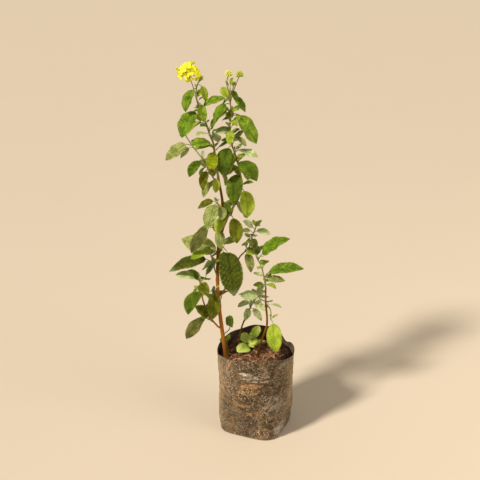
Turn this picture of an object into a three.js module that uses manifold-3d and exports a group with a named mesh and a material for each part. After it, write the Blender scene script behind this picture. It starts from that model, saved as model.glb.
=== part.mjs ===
// A young flowering lantana shrub in a soil-filled film grow bag.
// Millimetres, +Z up. The origin is the centre of the bag's flat underside, and -Y is the front.
import * as THREE from "three";
import { mergeVertices } from "three/addons/utils/BufferGeometryUtils.js";
import Module from "manifold-3d";

const wasm = await Module();
wasm.setup();

// Grow bag: a turned, squarish foot that opens to a round, wavy mouth.
const WALL = 1.2;
const FOOT_HALF_WIDTH = 45;
const FOOT_HALF_DEPTH = 43.5;
const FOOT_TURN = 24;
const FOOT_SQUARENESS = 4;
const FOOT_ROUNDING = 5;
const FOOT_TUCK = 2.4;
const MOUTH_RADIUS = 55;
const MOUTH_HEIGHT = 122.3;
const MOUTH_SADDLE = 5.2;
const MOUTH_TILT = 2.5;
const MOUTH_SHAPE_FROM = 0.75;
const BELLY = 1.6;
const BAG_STEPS = 32;
const BAG_SHARES = [0, 0.03, 0.1, 0.28, 0.46, 0.64, 0.82, 1];

// Ripples round the mouth: waves, height, start. Dips and peaks in it: direction, spread, height.
const RIPPLES = [[5, 0.8, 1], [9, 0.6, 0]];
const NOTCHES = [[36, 9, -5], [60, 12, 3]];

// Creases in the film: direction, spread in degrees, level, height, depth.
const CREASES = [
  [250, 12, 62, 26, 1.5], [205, 16, 84, 14, -1.6], [300, 20, 74, 9, -1.8], [325, 12, 30, 24, -1.6],
  [232, 10, 28, 20, -1.5], [150, 14, 60, 30, -1.8], [95, 16, 44, 18, -1.6], [40, 13, 70, 24, -1.8],
  [5, 15, 36, 22, 1.2], [275, 26, 96, 7, 1.2], [180, 11, 100, 14, 1.3], [70, 20, 92, 9, -1.4],
];
const CREASE_START = 12;

// Potting soil: a lumpy fill that rises to the back, falls to the right and dips at its edge.
const SOIL_LEVEL = 113.5;
const SOIL_RISE = 3.5;
const SOIL_FALL = 2.2;
const SOIL_DIP = 3.4;
const SOIL_EDGE = 0.8;
const SOIL_CLEARANCE = 0.35;
const SOIL_RINGS = [1.1, 0.9, 0.66, 0.42, 0.16];
const POCKET_DEPTH = 1.6;
const POCKET_CLEARANCE = 0.6;

// Lumps on the soil: height, then turns per mm and start, across and along.
const SOIL_LUMPS = [[1.1, 0.21, 1.3, 0.17, 1.2], [0.7, 0.13, 0.5, 0.31, 0.2]];

// Gap kept between pieces that meet.
const SEAT = 0.3;

// Stems: flare at the soil and swelling at nodes, each a share of the radius, with their reach.
const FLARE = 0.28;
const FLARE_REACH = 5;
const SWELLING = 0.2;
const SWELLING_REACH = 2.6;
const CURVE_STEPS = 10;
const LIMB_SPACING = 15;
const TWIG_SPACING = 14;
const TWIG_SIDES = 4;
const RING_GAP = 3;
const NODE_RINGS = [-4, 0, 4];
const FOOT_RINGS = [3, 8];

// Leaves: outline, thickness, stations along the blade by least length, and the petiole.
const LEAF_WIDTH = 0.6;
const LEAF_THICKNESS = 0.022;
const BASE_POWER = 0.6;
const TIP_POWER = 0.9;
const BLADE_SHARES = [[0.1, 0.3, 0.56, 0.8], [0.14, 0.42, 0.76], [0.25, 0.66]];
const BLADE_LEAST = [34, 21, 0];
const PETIOLE_SHARE = 0.2;
const PETIOLE_LEAST = 2;
const PETIOLE_RADIUS = 0.7;
const PETIOLE_LIFT = 55;
const PETIOLE_RISES = [-15, 60];

// What a blade faces: up, towards the sun and away from its stem.
const SUN = [-0.2, -0.7, 0.55];
const FACING = { up: 0.8, sun: 1, out: 0.3 };

// The range drawn for each leaf: roll, bend and fold in degrees, and width.
const ROLLS = [-16, 16];
const BENDS = [22, 52];
const FOLDS = [6, 20];
const WIDTHS = [0.92, 1.08];
const ROUND_WIDTH = 1.3;

// Space kept round leaves, and how far a leaf may turn and tip to find it.
const LEAF_CLEARANCE = 3;
const LEAF_CLEARANCE_SHARE = 0.1;
const LIMB_CLEARANCE = 1.3;
const RIM_CLEARANCE = 2.5;
const SOIL_HEADROOM = 1.5;
const ASIDE = [0, 14, -14, 28, -28, 42, -42, 58, -58];
const RISES = [0, -12, 12];
const SAMPLE_SHARES = [0.12, 0.25, 0.37, 0.5, 0.62, 0.75, 0.87, 0.999];
const SAMPLE_SIDES = [-1, -0.5, 0, 0.5, 1];

// Flower head: trumpet florets on a dome that leans to the sun, on a stalk.
const FLORETS = 20;
const FLORET_REACH = 13.8;
const FLORET_REACHES = [0.84, 1.1];
const FLORET_RADIUS = 4.7;
const FLORET_TUBE = [0.45, 0.9];
const FLORET_DEPTH = 1.2;
const HEAD_CORE = 3.2;
const HEAD_LEAN = 0.4;
const HEAD_CAP = 1.84;
const GOLDEN_TURN = 137.5;
const RIM_SIDES = 5;
const STALK_RADII = [0.7, 0.6, 0.6];

const DEG = Math.PI / 180;
const FIRST_SEED = 1000;
const SEED_STEP = 77;

// Limbs, each a tapering stem through a few points, from its foot radius to its tip radius.
const LIMBS = {
  main_stem: {
    path: [[-41, -16, 0], [-43, -16, 122], [-48, -14, 160], [-52, -10, 196], [-53, -8, 220],
      [-52.5, -6, 254], [-51, -4, 283]],
    radius: [2.9, 1.95], planted: true, nodes: [0.66, 0.76, 0.99], sides: 8,
  },
  left_leader: {
    path: [[-50.9, -4, 283.4], [-48, -4, 306], [-45.5, -5, 331], [-50.3, -8, 364]],
    radius: [1.9, 1.6], nodes: [0.03, 0.3, 0.6], sides: 6,
  },
  right_leader: {
    path: [[-51.6, -5, 272], [-48.6, -8.6, 284], [-44.5, -9, 300], [-36.5, -1, 317], [-24.5, 8, 336],
      [-22.6, 9.2, 348]],
    radius: [1.6, 1.3], parents: ["main_stem", "left_leader"], nodes: [0.45, 0.78], sides: 6,
  },
  side_branch: {
    path: [[-52, -10, 200], [-41.5, 0, 212], [-25, 12, 247], [-16.5, 15.8, 256.8]],
    radius: [1.2, 0.95], parents: ["main_stem"], nodes: [0.7], sides: 5,
  },
  low_left_branch: {
    path: [[-47.7, -14, 156], [-54, -14.5, 160], [-66, -18, 179], [-72.8, -20, 200]],
    radius: [1.25, 1], parents: ["main_stem"], nodes: [0.5], sides: 5,
  },
  second_stem: {
    path: [[1.5, -10, 0], [6.5, -7, 130], [12, -7, 147], [14.7, -8, 158], [14.8, -8, 170],
      [12.8, -8, 193], [12.6, -8, 213]],
    radius: [1.7, 1.15], planted: true, nodes: [0.4, 0.75], sides: 6,
  },
  back_stem: {
    path: [[-24, 40, 0], [-20, 42, 133], [-15, 43, 146], [-9, 42.5, 160]],
    radius: [1.25, 0.95], planted: true, nodes: [0.6], sides: 5,
  },
};

// Foliage masses. Each grows from its own stem, which starts at a limb's tip or on its parent limb.
// A row is one node of that stem: how far along it is, then each leaf as
// [compass direction, rise in degrees, length].
const MASSES = {
  foliage_crown_left: {
    path: [[-50.4, -8, 364.4], [-54.4, -6, 391], [-57, -4, 412], [-61, -2, 422], [-68, 0, 442],
      [-74, 2, 455], [-79, 3, 473], [-77, 4, 487]],
    radius: [1.55, 0.6],
    leaves: [
      [0.03, [235, -78, 18]],
      [0.09, [100, -35, 30], [60, -50, 26]],
      [0.17, [80, -38, 30]],
      [0.31, [262, -64, 27], [220, 5, 34], [140, -15, 30]],
      [0.43, [235, 5, 28], [75, -30, 28], [26, 14, 25]],
      [0.5, [245, 15, 22], [350, 50, 22]],
      [0.58, [150, -40, 30]],
      [0.66, [100, -30, 28]],
      [0.73, [228, -52, 40], [10, 18, 30], [130, -50, 28]],
      [0.82, [315, -74, 24]],
      [0.86, [120, -25, 24], [60, 25, 14]],
      [0.96, [235, -60, 31]],
      [1, [340, -75, 20], [70, 35, 9]],
    ],
    stalks: [[[-79, 3, 473], [-83.8, 3.5, 488], [-87.8, 4, 499.5]]],
    flower: [-88, 3.5, 501.5],
  },
  foliage_crown_right: {
    path: [[-22.5, 9.3, 348.4], [-21, 10, 361.4], [-26.4, 6, 388], [-33, 3, 409], [-35.4, 0, 433],
      [-34.3, 0, 447], [-34.8, 0, 463], [-35.3, 0, 480]],
    radius: [1.25, 0.6],
    leaves: [
      [0.01, [305, -75, 36]],
      [0.11, [130, -55, 28]],
      [0.18, [240, -74, 41], [70, -42, 32], [196, -30, 26]],
      [0.26, [300, -25, 44], [110, -38, 34]],
      [0.38, [338, -28, 28], [268, -74, 25]],
      [0.46, [242, -50, 38], [40, 38, 22], [130, -30, 30]],
      [0.54, [135, 10, 18], [335, -35, 20]],
      [0.62, [270, -50, 22]],
      [0.69, [110, -10, 22], [295, -15, 18]],
      [0.76, [338, -58, 44], [22, -58, 36], [130, -35, 34]],
      [0.87, [215, -48, 28]],
      [0.9, [120, -30, 24]],
      [0.94, [345, -55, 24]],
      [1, [300, -50, 18]],
    ],
    stalks: [
      [[-35.3, 0, 475], [-39.5, 0, 488], [-36.9, 0, 500.5]],
      [[-34.8, 0, 465], [-30.5, 0, 480], [-23, 0, 499.4]],
      [[-35.3, 0, 473], [-32, -2, 481], [-29.8, -3, 488.6]],
    ],
    buds: [[-36.9, 0, 501, 5], [-23, 0, 500, 5.4], [-29.8, -3, 488.6, 3.6]],
  },
  foliage_left_side: {
    path: [[-49.5, -8, 356], [-57, -12, 368], [-70, -13, 392], [-82, -12, 408], [-86, -12, 414],
      [-92, -10, 423]],
    radius: [1.2, 0.6], parents: ["left_leader"],
    leaves: [
      [0.1, [170, -74, 24], [110, -40, 24]],
      [0.36, [248, -66, 26], [118, -45, 24]],
      [0.5, [232, -38, 29], [90, -40, 24]],
      [0.77, [190, -48, 18]],
      [0.81, [195, -36, 34], [60, -20, 18]],
      [0.99, [230, -5, 10], [80, 0, 10], [160, 40, 7]],
    ],
  },
  foliage_fork_left: {
    path: [[-45.5, -5, 321], [-48, -11, 327], [-52, -15, 335]],
    radius: [0.95, 0.7], parents: ["left_leader"],
    leaves: [
      [0.55, [275, -30, 26]],
      [0.97, [248, -62, 37], [172, -28, 24]],
    ],
  },
  foliage_fork_right: {
    path: [[-38, -2.5, 314], [-34.5, -8, 317], [-32, -10, 324], [-30, -11, 332]],
    radius: [0.95, 0.7], parents: ["right_leader"],
    leaves: [
      [0.3, [292, -68, 34], [238, -62, 28]],
      [0.97, [215, -70, 22], [55, -20, 14]],
    ],
  },
  foliage_fork_back: {
    path: [[-37.4, -1.8, 315.4], [-36, 9, 319], [-35, 14, 325]],
    radius: [0.95, 0.7], parents: ["right_leader"],
    leaves: [
      [0.5, [150, -30, 30]],
      [0.97, [100, -35, 36], [30, -50, 30]],
    ],
  },
  foliage_mid_left: {
    path: [[-49, -4, 298], [-54, -8.5, 300], [-58.5, -12.5, 301]],
    radius: [0.95, 0.75], parents: ["left_leader"],
    leaves: [
      [0.4, [285, -66, 26]],
      [0.7, [150, -45, 32], [80, -45, 26]],
      [0.97, [215, -50, 40]],
    ],
  },
  foliage_trunk_left: {
    path: [[-52.8, -8, 228], [-57, -12, 243], [-59, -14, 256], [-62, -14, 264]],
    radius: [1, 0.75], parents: ["main_stem"],
    leaves: [
      [0.45, [120, -30, 28]],
      [0.6, [188, -17, 54], [20, -40, 24]],
      [0.97, [222, -8, 29], [130, -5, 22]],
    ],
  },
  foliage_trunk_right: {
    path: [[-51.6, -5, 268], [-47, -10, 272], [-44, -13, 274]],
    radius: [0.95, 0.8], parents: ["main_stem"],
    leaves: [
      [0.55, [288, -70, 40], [20, 15, 24]],
      [0.75, [302, -74, 60]],
    ],
  },
  foliage_trunk_back: {
    path: [[-52.5, -8, 238], [-50, 0, 243], [-49, 7, 250]],
    radius: [0.95, 0.75], parents: ["main_stem"],
    leaves: [
      [0.6, [150, -42, 34], [60, -55, 32]],
      [0.97, [100, -20, 38], [20, -15, 22], [178, 27, 52]],
    ],
  },
  foliage_low_left: {
    path: [[-72.9, -20, 200.4], [-75, -22, 216], [-76.3, -22, 227]],
    radius: [0.95, 0.7],
    leaves: [
      [0.2, [60, -45, 28]],
      [0.45, [250, -28, 42], [120, -45, 36]],
      [0.88, [290, -32, 28], [70, -20, 26]],
      [0.97, [175, 5, 30], [205, 48, 21]],
    ],
  },
  foliage_low_skirt: {
    path: [[-58, -15.6, 166], [-61.5, -21, 170], [-64, -23, 175]],
    radius: [0.9, 0.7], parents: ["low_left_branch"],
    leaves: [
      [0.35, [100, -30, 18]],
      [0.65, [196, 43, 26], [150, -45, 32]],
      [0.97, [205, -45, 37]],
    ],
  },
  foliage_trunk_low: {
    path: [[-51.5, -10.5, 203], [-55, -15, 209], [-57, -17, 213]],
    radius: [0.9, 0.7], parents: ["main_stem"],
    leaves: [
      [0.6, [110, -40, 20]],
      [0.97, [262, -78, 34]],
    ],
  },
  foliage_low_back: {
    path: [[-50, -12.5, 179], [-49, -3, 184], [-50, 3, 190]],
    radius: [0.9, 0.7], parents: ["main_stem"],
    leaves: [
      [0.6, [100, -50, 28], [150, -22, 26]],
      [0.97, [75, -10, 32], [130, 20, 16]],
    ],
  },
  foliage_side_branch: {
    path: [[-16.3, 15.9, 257.1], [-9.8, 18.1, 263.4], [-5, 20, 280], [-1, 20, 290]],
    radius: [0.9, 0.55],
    leaves: [
      [0.04, [290, -58, 28]],
      [0.32, [100, -30, 26]],
      [0.55, [282, -30, 22], [80, -22, 22]],
      [0.77, [355, -12, 20], [180, -5, 17]],
      [0.92, [200, 35, 18], [60, 20, 16], [300, 25, 13]],
      [1, [120, 60, 9], [0, 60, 9]],
    ],
  },
  foliage_second_top: {
    path: [[12.6, -8, 213.4], [10.6, -6, 226.5], [6.6, -4, 242], [0, -2, 255.5], [-1.2, -2, 261]],
    radius: [1.1, 0.55],
    leaves: [
      [0.05, [185, -8, 14], [310, -8, 18], [80, -15, 24]],
      [0.17, [340, -14, 25]],
      [0.25, [350, 9, 49], [165, 12, 14]],
      [0.5, [80, -5, 26], [250, 10, 16]],
      [0.8, [345, 32, 46], [96, 5, 26]],
      [0.93, [228, 10, 18], [20, 12, 20], [150, 20, 14]],
      [1, [100, 50, 9]],
    ],
  },
  foliage_second_left: {
    path: [[12.8, -8, 193], [8, -12, 197], [4, -14, 200]],
    radius: [0.8, 0.65], parents: ["second_stem"],
    leaves: [
      [0.6, [235, -35, 14]],
      [0.97, [215, 5, 29], [130, -10, 20]],
    ],
  },
  foliage_second_right: {
    path: [[14, -8, 187], [18.5, -10, 184], [20, -13, 177], [19.5, -15, 170]],
    radius: [0.85, 0.7], parents: ["second_stem"],
    leaves: [
      [0.06, [345, -14, 17], [75, -20, 20]],
      [1, [290, -72, 40]],
    ],
  },
  foliage_back_stem: {
    path: [[-8.8, 42.4, 160.4], [-6, 42, 167], [-2, 41, 174], [2, 40, 181]],
    radius: [0.9, 0.55],
    leaves: [
      [0.1, [250, -40, 20], [320, -45, 22], [100, -20, 24]],
      [0.45, [205, -15, 20], [330, -30, 20], [60, -10, 22]],
      [0.8, [185, 8, 22], [20, -10, 18]],
      [1, [240, -5, 18], [60, 30, 18], [330, 30, 14]],
    ],
  },
  foliage_round_leaf: {
    path: [[-46.2, -15, 147], [-41, -19, 152.5], [-36.5, -20.5, 158]],
    radius: [0.8, 0.7], parents: ["main_stem"],
    leaves: [[0.97, [290, 76, 19], [100, 20, 12]]],
    roundness: 1.5,
  },
  foliage_seedlings: {
    path: [[-9, 6, 0], [-8, 7, 120], [-5, 8, 125]],
    radius: [0.9, 0.7], planted: true,
    leaves: [
      [0.3, [232, -2, 24], [15, 12, 20]],
      [0.62, [130, 22, 18], [282, 2, 16], [186, 10, 14]],
      [1, [55, 46, 20], [248, -12, 17]],
    ],
    roundness: 1.2,
  },
  foliage_foot_sprout: {
    path: [[-41, 13, 0], [-40.5, 13, 121]],
    radius: [0.7, 0.6], planted: true,
    leaves: [[0.95, [205, 25, 11], [70, 42, 10]]],
    roundness: 1.3,
  },
};

// Colours of the finishes.
const COLOURS = {
  bag: 0x3a3836, soil: 0x6b4130, bark: 0x7a4a2a, leaf: 0x4f7a2c,
};

const add = (a, b) => [a[0] + b[0], a[1] + b[1], a[2] + b[2]];
const take = (a, b) => [a[0] - b[0], a[1] - b[1], a[2] - b[2]];
const grow = (a, k) => [a[0] * k, a[1] * k, a[2] * k];
const dot = (a, b) => a[0] * b[0] + a[1] * b[1] + a[2] * b[2];
const cross = ([a, b, c], [x, y, z]) => [b * z - c * y, c * x - a * z, a * y - b * x];
const unit = (a) => grow(a, 1 / Math.hypot(...a));
const mix = (a, b, k) => add(grow(a, 1 - k), grow(b, k));
const clamp = (v, low, high) => Math.max(low, Math.min(high, v));
const drawn = (random, [low, high]) => low + (high - low) * random();
const turnBetween = (a, b) => ((((a - b) % 360) + 540) % 360) - 180;
const bump = (offset, spread) => Math.exp(-((offset / spread) ** 2));
const aim = (turn, rise) => [
  Math.cos(turn * DEG) * Math.cos(rise * DEG),
  Math.sin(turn * DEG) * Math.cos(rise * DEG),
  Math.sin(rise * DEG),
];
const smooth = (low, high, v) => {
  const k = clamp((v - low) / (high - low), 0, 1);
  return k * k * (3 - 2 * k);
};

// A repeatable stream of numbers from 0 to 1.
function seeded(start) {
  let state = start;
  return () => {
    state = (state * 16807) % 2147483647;
    return state / 2147483647;
  };
}

// The points of a smooth curve through a path, with the length from its start to each point.
function curveThrough(path) {
  const at = (i) =>
    i < 0 ? take(grow(path[0], 2), path[1])
      : i < path.length ? path[i] : take(grow(path.at(-1), 2), path.at(-2));
  const points = [path[0]];
  for (let i = 0; i < path.length - 1; i++)
    for (let s = 1; s <= CURVE_STEPS; s++) {
      const t = s / CURVE_STEPS;
      const [p, a, b, n] = [at(i - 1), at(i), at(i + 1), at(i + 2)];
      points.push(
        a.map((v, k) =>
          0.5 * (2 * v + (b[k] - p[k]) * t + (2 * p[k] - 5 * v + 4 * b[k] - n[k]) * t * t +
            (3 * v - p[k] - 3 * b[k] + n[k]) * t * t * t)),
      );
    }
  const reach = [0];
  for (let i = 1; i < points.length; i++)
    reach.push(reach[i - 1] + Math.hypot(...take(points[i], points[i - 1])));
  return { points, reach, length: reach.at(-1) };
}

// The point a share of the way along a curve.
function pointAlong(curve, share) {
  const goal = share * curve.length;
  let i = 1;
  while (i < curve.points.length - 1 && curve.reach[i] < goal) i++;
  const k = (goal - curve.reach[i - 1]) / (curve.reach[i] - curve.reach[i - 1]);
  return mix(curve.points[i - 1], curve.points[i], k);
}

// A closed solid from rings of points, the first and last closed by a cap, which rises to a tip
// where one is given. Each four-sided face is split one way or the other, so that two surfaces a
// small gap apart can be split alike.
function solidOf(rings, { splitBack = false, tip = null } = {}) {
  const sides = rings[0].length;
  const vertices = rings.flat();
  const faces = [];
  const at = (ring, i) => ring * sides + (i % sides);
  for (let r = 0; r < rings.length - 1; r++)
    for (let i = 0; i < sides; i++) {
      const [a, b, c, d] = [at(r, i), at(r, i + 1), at(r + 1, i + 1), at(r + 1, i)];
      faces.push(splitBack ? [a, b, d] : [a, b, c], splitBack ? [b, c, d] : [a, c, d]);
    }
  const cap = (ring, flip) => {
    vertices.push((!flip && tip) || grow(rings[ring].reduce(add), 1 / sides));
    const middle = vertices.length - 1;
    for (let i = 0; i < sides; i++) {
      const [a, b] = [at(ring, i), at(ring, i + 1)];
      faces.push(flip ? [middle, b, a] : [middle, a, b]);
    }
  };
  cap(0, true);
  cap(rings.length - 1, false);
  return toManifold(vertices, faces);
}

// A solid from corners and three-sided faces.
function toManifold(vertices, faces) {
  const geometry = new THREE.BufferGeometry();
  geometry.setAttribute("position", new THREE.Float32BufferAttribute(vertices.flat(), 3));
  geometry.setIndex(faces.flat());
  return manifoldOf(geometry);
}

// A solid from a closed geometry.
function manifoldOf(geometry) {
  const bare = geometry.clone();
  bare.deleteAttribute("normal");
  bare.deleteAttribute("uv");
  const merged = mergeVertices(bare, 1e-4);
  return new wasm.Manifold(
    new wasm.Mesh({
      numProp: 3,
      vertProperties: new Float32Array(merged.attributes.position.array),
      triVerts: new Uint32Array(merged.index.array),
    }),
  );
}

// A round limb along points, with a radius at each.
function tube(points, radii, sides) {
  let across = null;
  const rings = points.map((p, i) => {
    const along = unit(take(points[Math.min(i + 1, points.length - 1)], points[Math.max(i - 1, 0)]));
    const start = across ?? (Math.abs(along[0]) < 0.8 ? [1, 0, 0] : [0, 1, 0]);
    across = unit(take(start, grow(along, dot(start, along))));
    const over = cross(along, across);
    return Array.from({ length: sides }, (_, s) => {
      const turn = (2 * Math.PI * s) / sides;
      return add(p, add(grow(across, radii[i] * Math.cos(turn)), grow(over, radii[i] * Math.sin(turn))));
    });
  });
  return solidOf(rings);
}

// The grow bag's outer radius in one direction at one height.
function bagRadius(turn, height) {
  const k = smooth(0, MOUTH_SHAPE_FROM * MOUTH_HEIGHT, height);
  const power = FOOT_SQUARENESS + (2 - FOOT_SQUARENESS) * k;
  const local = (turn + FOOT_TURN * (1 - k)) * DEG;
  const wide = FOOT_HALF_WIDTH + (MOUTH_RADIUS - FOOT_HALF_WIDTH) * k;
  const deep = FOOT_HALF_DEPTH + (MOUTH_RADIUS - FOOT_HALF_DEPTH) * k;
  const inverse = Math.abs(Math.cos(local) / wide) ** power + Math.abs(Math.sin(local) / deep) ** power;
  const tuck = FOOT_TUCK * (1 - Math.min(1, height / FOOT_ROUNDING)) ** 2;
  const belly = BELLY * Math.sin((Math.PI * 2 * height) / MOUTH_HEIGHT);
  const dents = CREASES.reduce(
    (sum, [at, spread, level, tall, depth]) =>
      sum + depth * bump(turnBetween(turn, at), spread) * bump(height - level, tall), 0);
  return inverse ** (-1 / power) - tuck + belly + dents * smooth(0, CREASE_START, height);
}

// The height of the bag's mouth in one direction.
function mouthHeight(turn) {
  const a = turn * DEG;
  const ripple = RIPPLES.reduce((sum, [waves, tall, start]) => sum + tall * Math.sin(waves * a + start), 0);
  const notch = NOTCHES.reduce(
    (sum, [at, spread, tall]) => sum + tall * bump(turnBetween(turn, at), spread), 0);
  return MOUTH_HEIGHT - MOUTH_SADDLE * Math.cos(2 * a) + MOUTH_TILT * Math.sin(a) + ripple + notch;
}

// A ring round the bag, inset from its outer surface, at a share of its full height.
function bagRing(share, inset, lift = 0) {
  return Array.from({ length: BAG_STEPS }, (_, i) => {
    const turn = (360 * i) / BAG_STEPS;
    const height = lift + share * (mouthHeight(turn) - lift);
    const r = bagRadius(turn, height) - inset;
    return [r * Math.cos(turn * DEG), r * Math.sin(turn * DEG), height];
  });
}

// The bag: one skin of even thickness with a closed foot and an open mouth.
function growBag() {
  const outer = BAG_SHARES.map((share) => bagRing(share, 0));
  const inner = BAG_SHARES.map((share) => bagRing(share, WALL, WALL));
  return solidOf([...outer, ...inner.reverse()]);
}

// The height of the soil at a place.
function soilHeight(x, y) {
  const turn = Math.atan2(y, x) / DEG;
  const share = Math.hypot(x, y) / bagRadius(turn, SOIL_LEVEL);
  const slope = (SOIL_RISE * y - SOIL_FALL * Math.max(0, x)) / MOUTH_RADIUS;
  const lumps = SOIL_LUMPS.reduce(
    (sum, [tall, a, b, c, d]) => sum + tall * Math.sin(a * x + b) * Math.sin(c * y + d), 0);
  const edge = smooth(SOIL_EDGE, 1, share);
  return SOIL_LEVEL + slope + lumps * (1 - edge) - SOIL_DIP * edge;
}

// The soil fills the inside of the bag up to a rolling surface, with a pocket for each planted stem.
const POCKET_SIDES = 9;
const POCKET_TALL = 20;
function pottingSoil() {
  const inset = WALL + SOIL_CLEARANCE;
  const inside = BAG_SHARES.map((share) => bagRing(share, inset, WALL));
  inside[0] = inside[0].map(([x, y]) => [x, y, inset]);
  const rings = SOIL_RINGS.map((share) =>
    Array.from({ length: BAG_STEPS }, (_, i) => {
      const a = (2 * Math.PI * i) / BAG_STEPS;
      const [x, y] = [MOUTH_RADIUS * share * Math.cos(a), MOUTH_RADIUS * share * Math.sin(a)];
      return [x, y, soilHeight(x, y)];
    }));
  const under = rings[0].map(([x, y]) => [x, y, 0]);
  let soil = solidOf([under, ...rings]).intersect(solidOf(inside, { splitBack: true }));
  for (const stem of planted) {
    const [x, y] = stem.path[0];
    const across = radiusAlong(stem, 0) + POCKET_CLEARANCE;
    const hole = new THREE.CylinderGeometry(across + SEAT, across, POCKET_TALL, POCKET_SIDES);
    hole.rotateX(Math.PI / 2);
    hole.translate(x, y, soilHeight(x, y) - POCKET_DEPTH + POCKET_TALL / 2);
    soil = soil.subtract(manifoldOf(hole));
  }
  return soil;
}

// A planted stem's flat foot stands just above the floor of its pocket in the soil.
function settle(stem) {
  const [x, y] = stem.path[0];
  stem.path[0] = [x, y, soilHeight(x, y) - POCKET_DEPTH + SEAT];
}

const all = { ...LIMBS, ...MASSES };
const planted = Object.values(all).filter((stem) => stem.planted);
planted.forEach(settle);
for (const stem of Object.values(all)) stem.curve = curveThrough(stem.path);

// A limb's radius a share of the way along: its taper, its flare at the soil and its swollen nodes.
function radiusAlong(stem, share) {
  const taper = stem.radius[0] + (stem.radius[1] - stem.radius[0]) * share;
  const along = (at) => (share - at) * stem.curve.length;
  const flare = stem.planted ? FLARE * stem.radius[0] * Math.exp(-along(0) / FLARE_REACH) : 0;
  const swelling = (stem.nodes ?? []).reduce((sum, at) => sum + bump(along(at), SWELLING_REACH), 0);
  return taper + flare + SWELLING * taper * swelling;
}

// The shares along a stem at which it has a ring: at its leaves, and closer together at its foot
// and its nodes.
function ringShares(stem, spacing) {
  const long = stem.curve.length;
  const steps = Math.max(1, Math.round(long / spacing));
  const shares = Array.from({ length: steps + 1 }, (_, i) => i / steps);
  const near = (stem.nodes ?? []).flatMap((at) => NODE_RINGS.map((d) => at + d / long));
  near.push(...(stem.leaves ?? []).map(([at]) => at));
  if (stem.planted) near.push(...FOOT_RINGS.map((d) => d / long));
  const isFar = (share) => near.every((at) => Math.abs(at - share) * long > RING_GAP);
  const kept = shares.filter((share) => share === 0 || share === 1 || isFar(share));
  return [...kept, ...near.filter((at) => at > 0.01 && at < 0.99)].sort((a, b) => a - b);
}

// The round limb of a stem, made thicker by a margin where it only marks out space. A planted one
// stands upright on a level foot.
function stemSolid(stem, spacing, sides, margin = 0) {
  const shares = ringShares(stem, spacing);
  const points = shares.map((share) => pointAlong(stem.curve, share));
  const radii = shares.map((share) => radiusAlong(stem, share) + margin);
  if (stem.planted) points[1] = add(points[0], [0, 0, FOOT_RINGS[0]]);
  return tube(points, radii, sides);
}

// What is left of a solid outside its parent limbs, kept clear of them by the seat.
function meetParents(solid, stem) {
  if (!stem.parents) return solid;
  const limbs = stem.parents.map((name) => stemSolid(LIMBS[name], LIMB_SPACING, LIMBS[name].sides, SEAT));
  const cut = limbs.reduce((left, limb) => left.subtract(limb), solid);
  return cut.decompose().sort((a, b) => b.volume() - a.volume())[0];
}

// A blade's half width a share of the way from base to tip, as a share of its greatest.
function outline(share, roundness) {
  const [a, b] = [BASE_POWER / roundness, TIP_POWER / roundness];
  const widest = a / (a + b);
  return (share ** a * (1 - share) ** b) / (widest ** a * (1 - widest) ** b);
}

// Where a leaf's petiole and blade lie, from its node, direction, rise and length.
function poseLeaf(node, turn, rise, length, look) {
  const lift = clamp(rise + PETIOLE_LIFT, ...PETIOLE_RISES);
  const stalk = PETIOLE_SHARE * length + PETIOLE_LEAST;
  const base = add(node, grow(aim(turn, lift), stalk));
  const chord = aim(turn, rise);
  const facing = add(add([0, 0, FACING.up], grow(SUN, FACING.sun)), grow(aim(turn, 0), FACING.out));
  const level = unit(take(facing, grow(chord, dot(facing, chord))));
  const between = (a, b, turned) => add(grow(a, Math.cos(turned)), grow(b, Math.sin(turned)));
  const normal = between(level, cross(chord, level), look.roll * DEG);
  const side = cross(chord, normal);
  const bend = look.bend * DEG;
  const at = (share) => {
    const arc = between(chord, normal, (bend * (1 - share)) / 2);
    const shortening = grow(chord, -((bend * share) ** 2) / 24);
    return add(base, grow(add(arc, shortening), length * share));
  };
  const across = (share, v) => {
    const up = between(normal, chord, bend * (share - 0.5));
    const half = (look.width * length * outline(share, look.roundness)) / 2;
    const reach = between(grow(side, v), grow(up, Math.abs(v)), look.fold * DEG);
    return { point: add(at(share), grow(reach, half)), up };
  };
  return { node, lift, turn, length, side, at, across };
}

// The look of one leaf, drawn from the mass's own stream.
function drawLook(random, roundness = 1) {
  return {
    roll: drawn(random, ROLLS),
    bend: drawn(random, BENDS),
    fold: drawn(random, FOLDS),
    width: LEAF_WIDTH * drawn(random, WIDTHS) * (roundness > 1 ? ROUND_WIDTH : 1),
    roundness,
  };
}

const samplesOf = (leaf) =>
  SAMPLE_SHARES.flatMap((share) => SAMPLE_SIDES.map((v) => leaf.across(share, v).point));
const near = (p, q, gap) => (p[0] - q[0]) ** 2 + (p[1] - q[1]) ** 2 + (p[2] - q[2]) ** 2 < gap * gap;

// Points all along every stem and stalk, with the radius there, for leaves to keep clear of.
const OBSTACLE_SPACING = 3;
const STALK_STEPS = 8;
const obstacles = [];
for (const stem of Object.values(all)) {
  const steps = Math.ceil(stem.curve.length / OBSTACLE_SPACING);
  for (let i = 0; i <= steps; i++)
    obstacles.push([pointAlong(stem.curve, i / steps), radiusAlong(stem, i / steps) + LIMB_CLEARANCE]);
  for (const stalk of stem.stalks ?? []) {
    const curve = curveThrough(stalk);
    for (let i = 2; i <= STALK_STEPS; i++)
      obstacles.push([pointAlong(curve, i / STALK_STEPS), STALK_RADII[1] + LIMB_CLEARANCE]);
  }
  for (const [x, y, z, r] of stem.buds ?? []) obstacles.push([[x, y, z], r + LIMB_CLEARANCE]);
  if (stem.flower) obstacles.push([stem.flower, FLORET_REACH + LIMB_CLEARANCE]);
}

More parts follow.
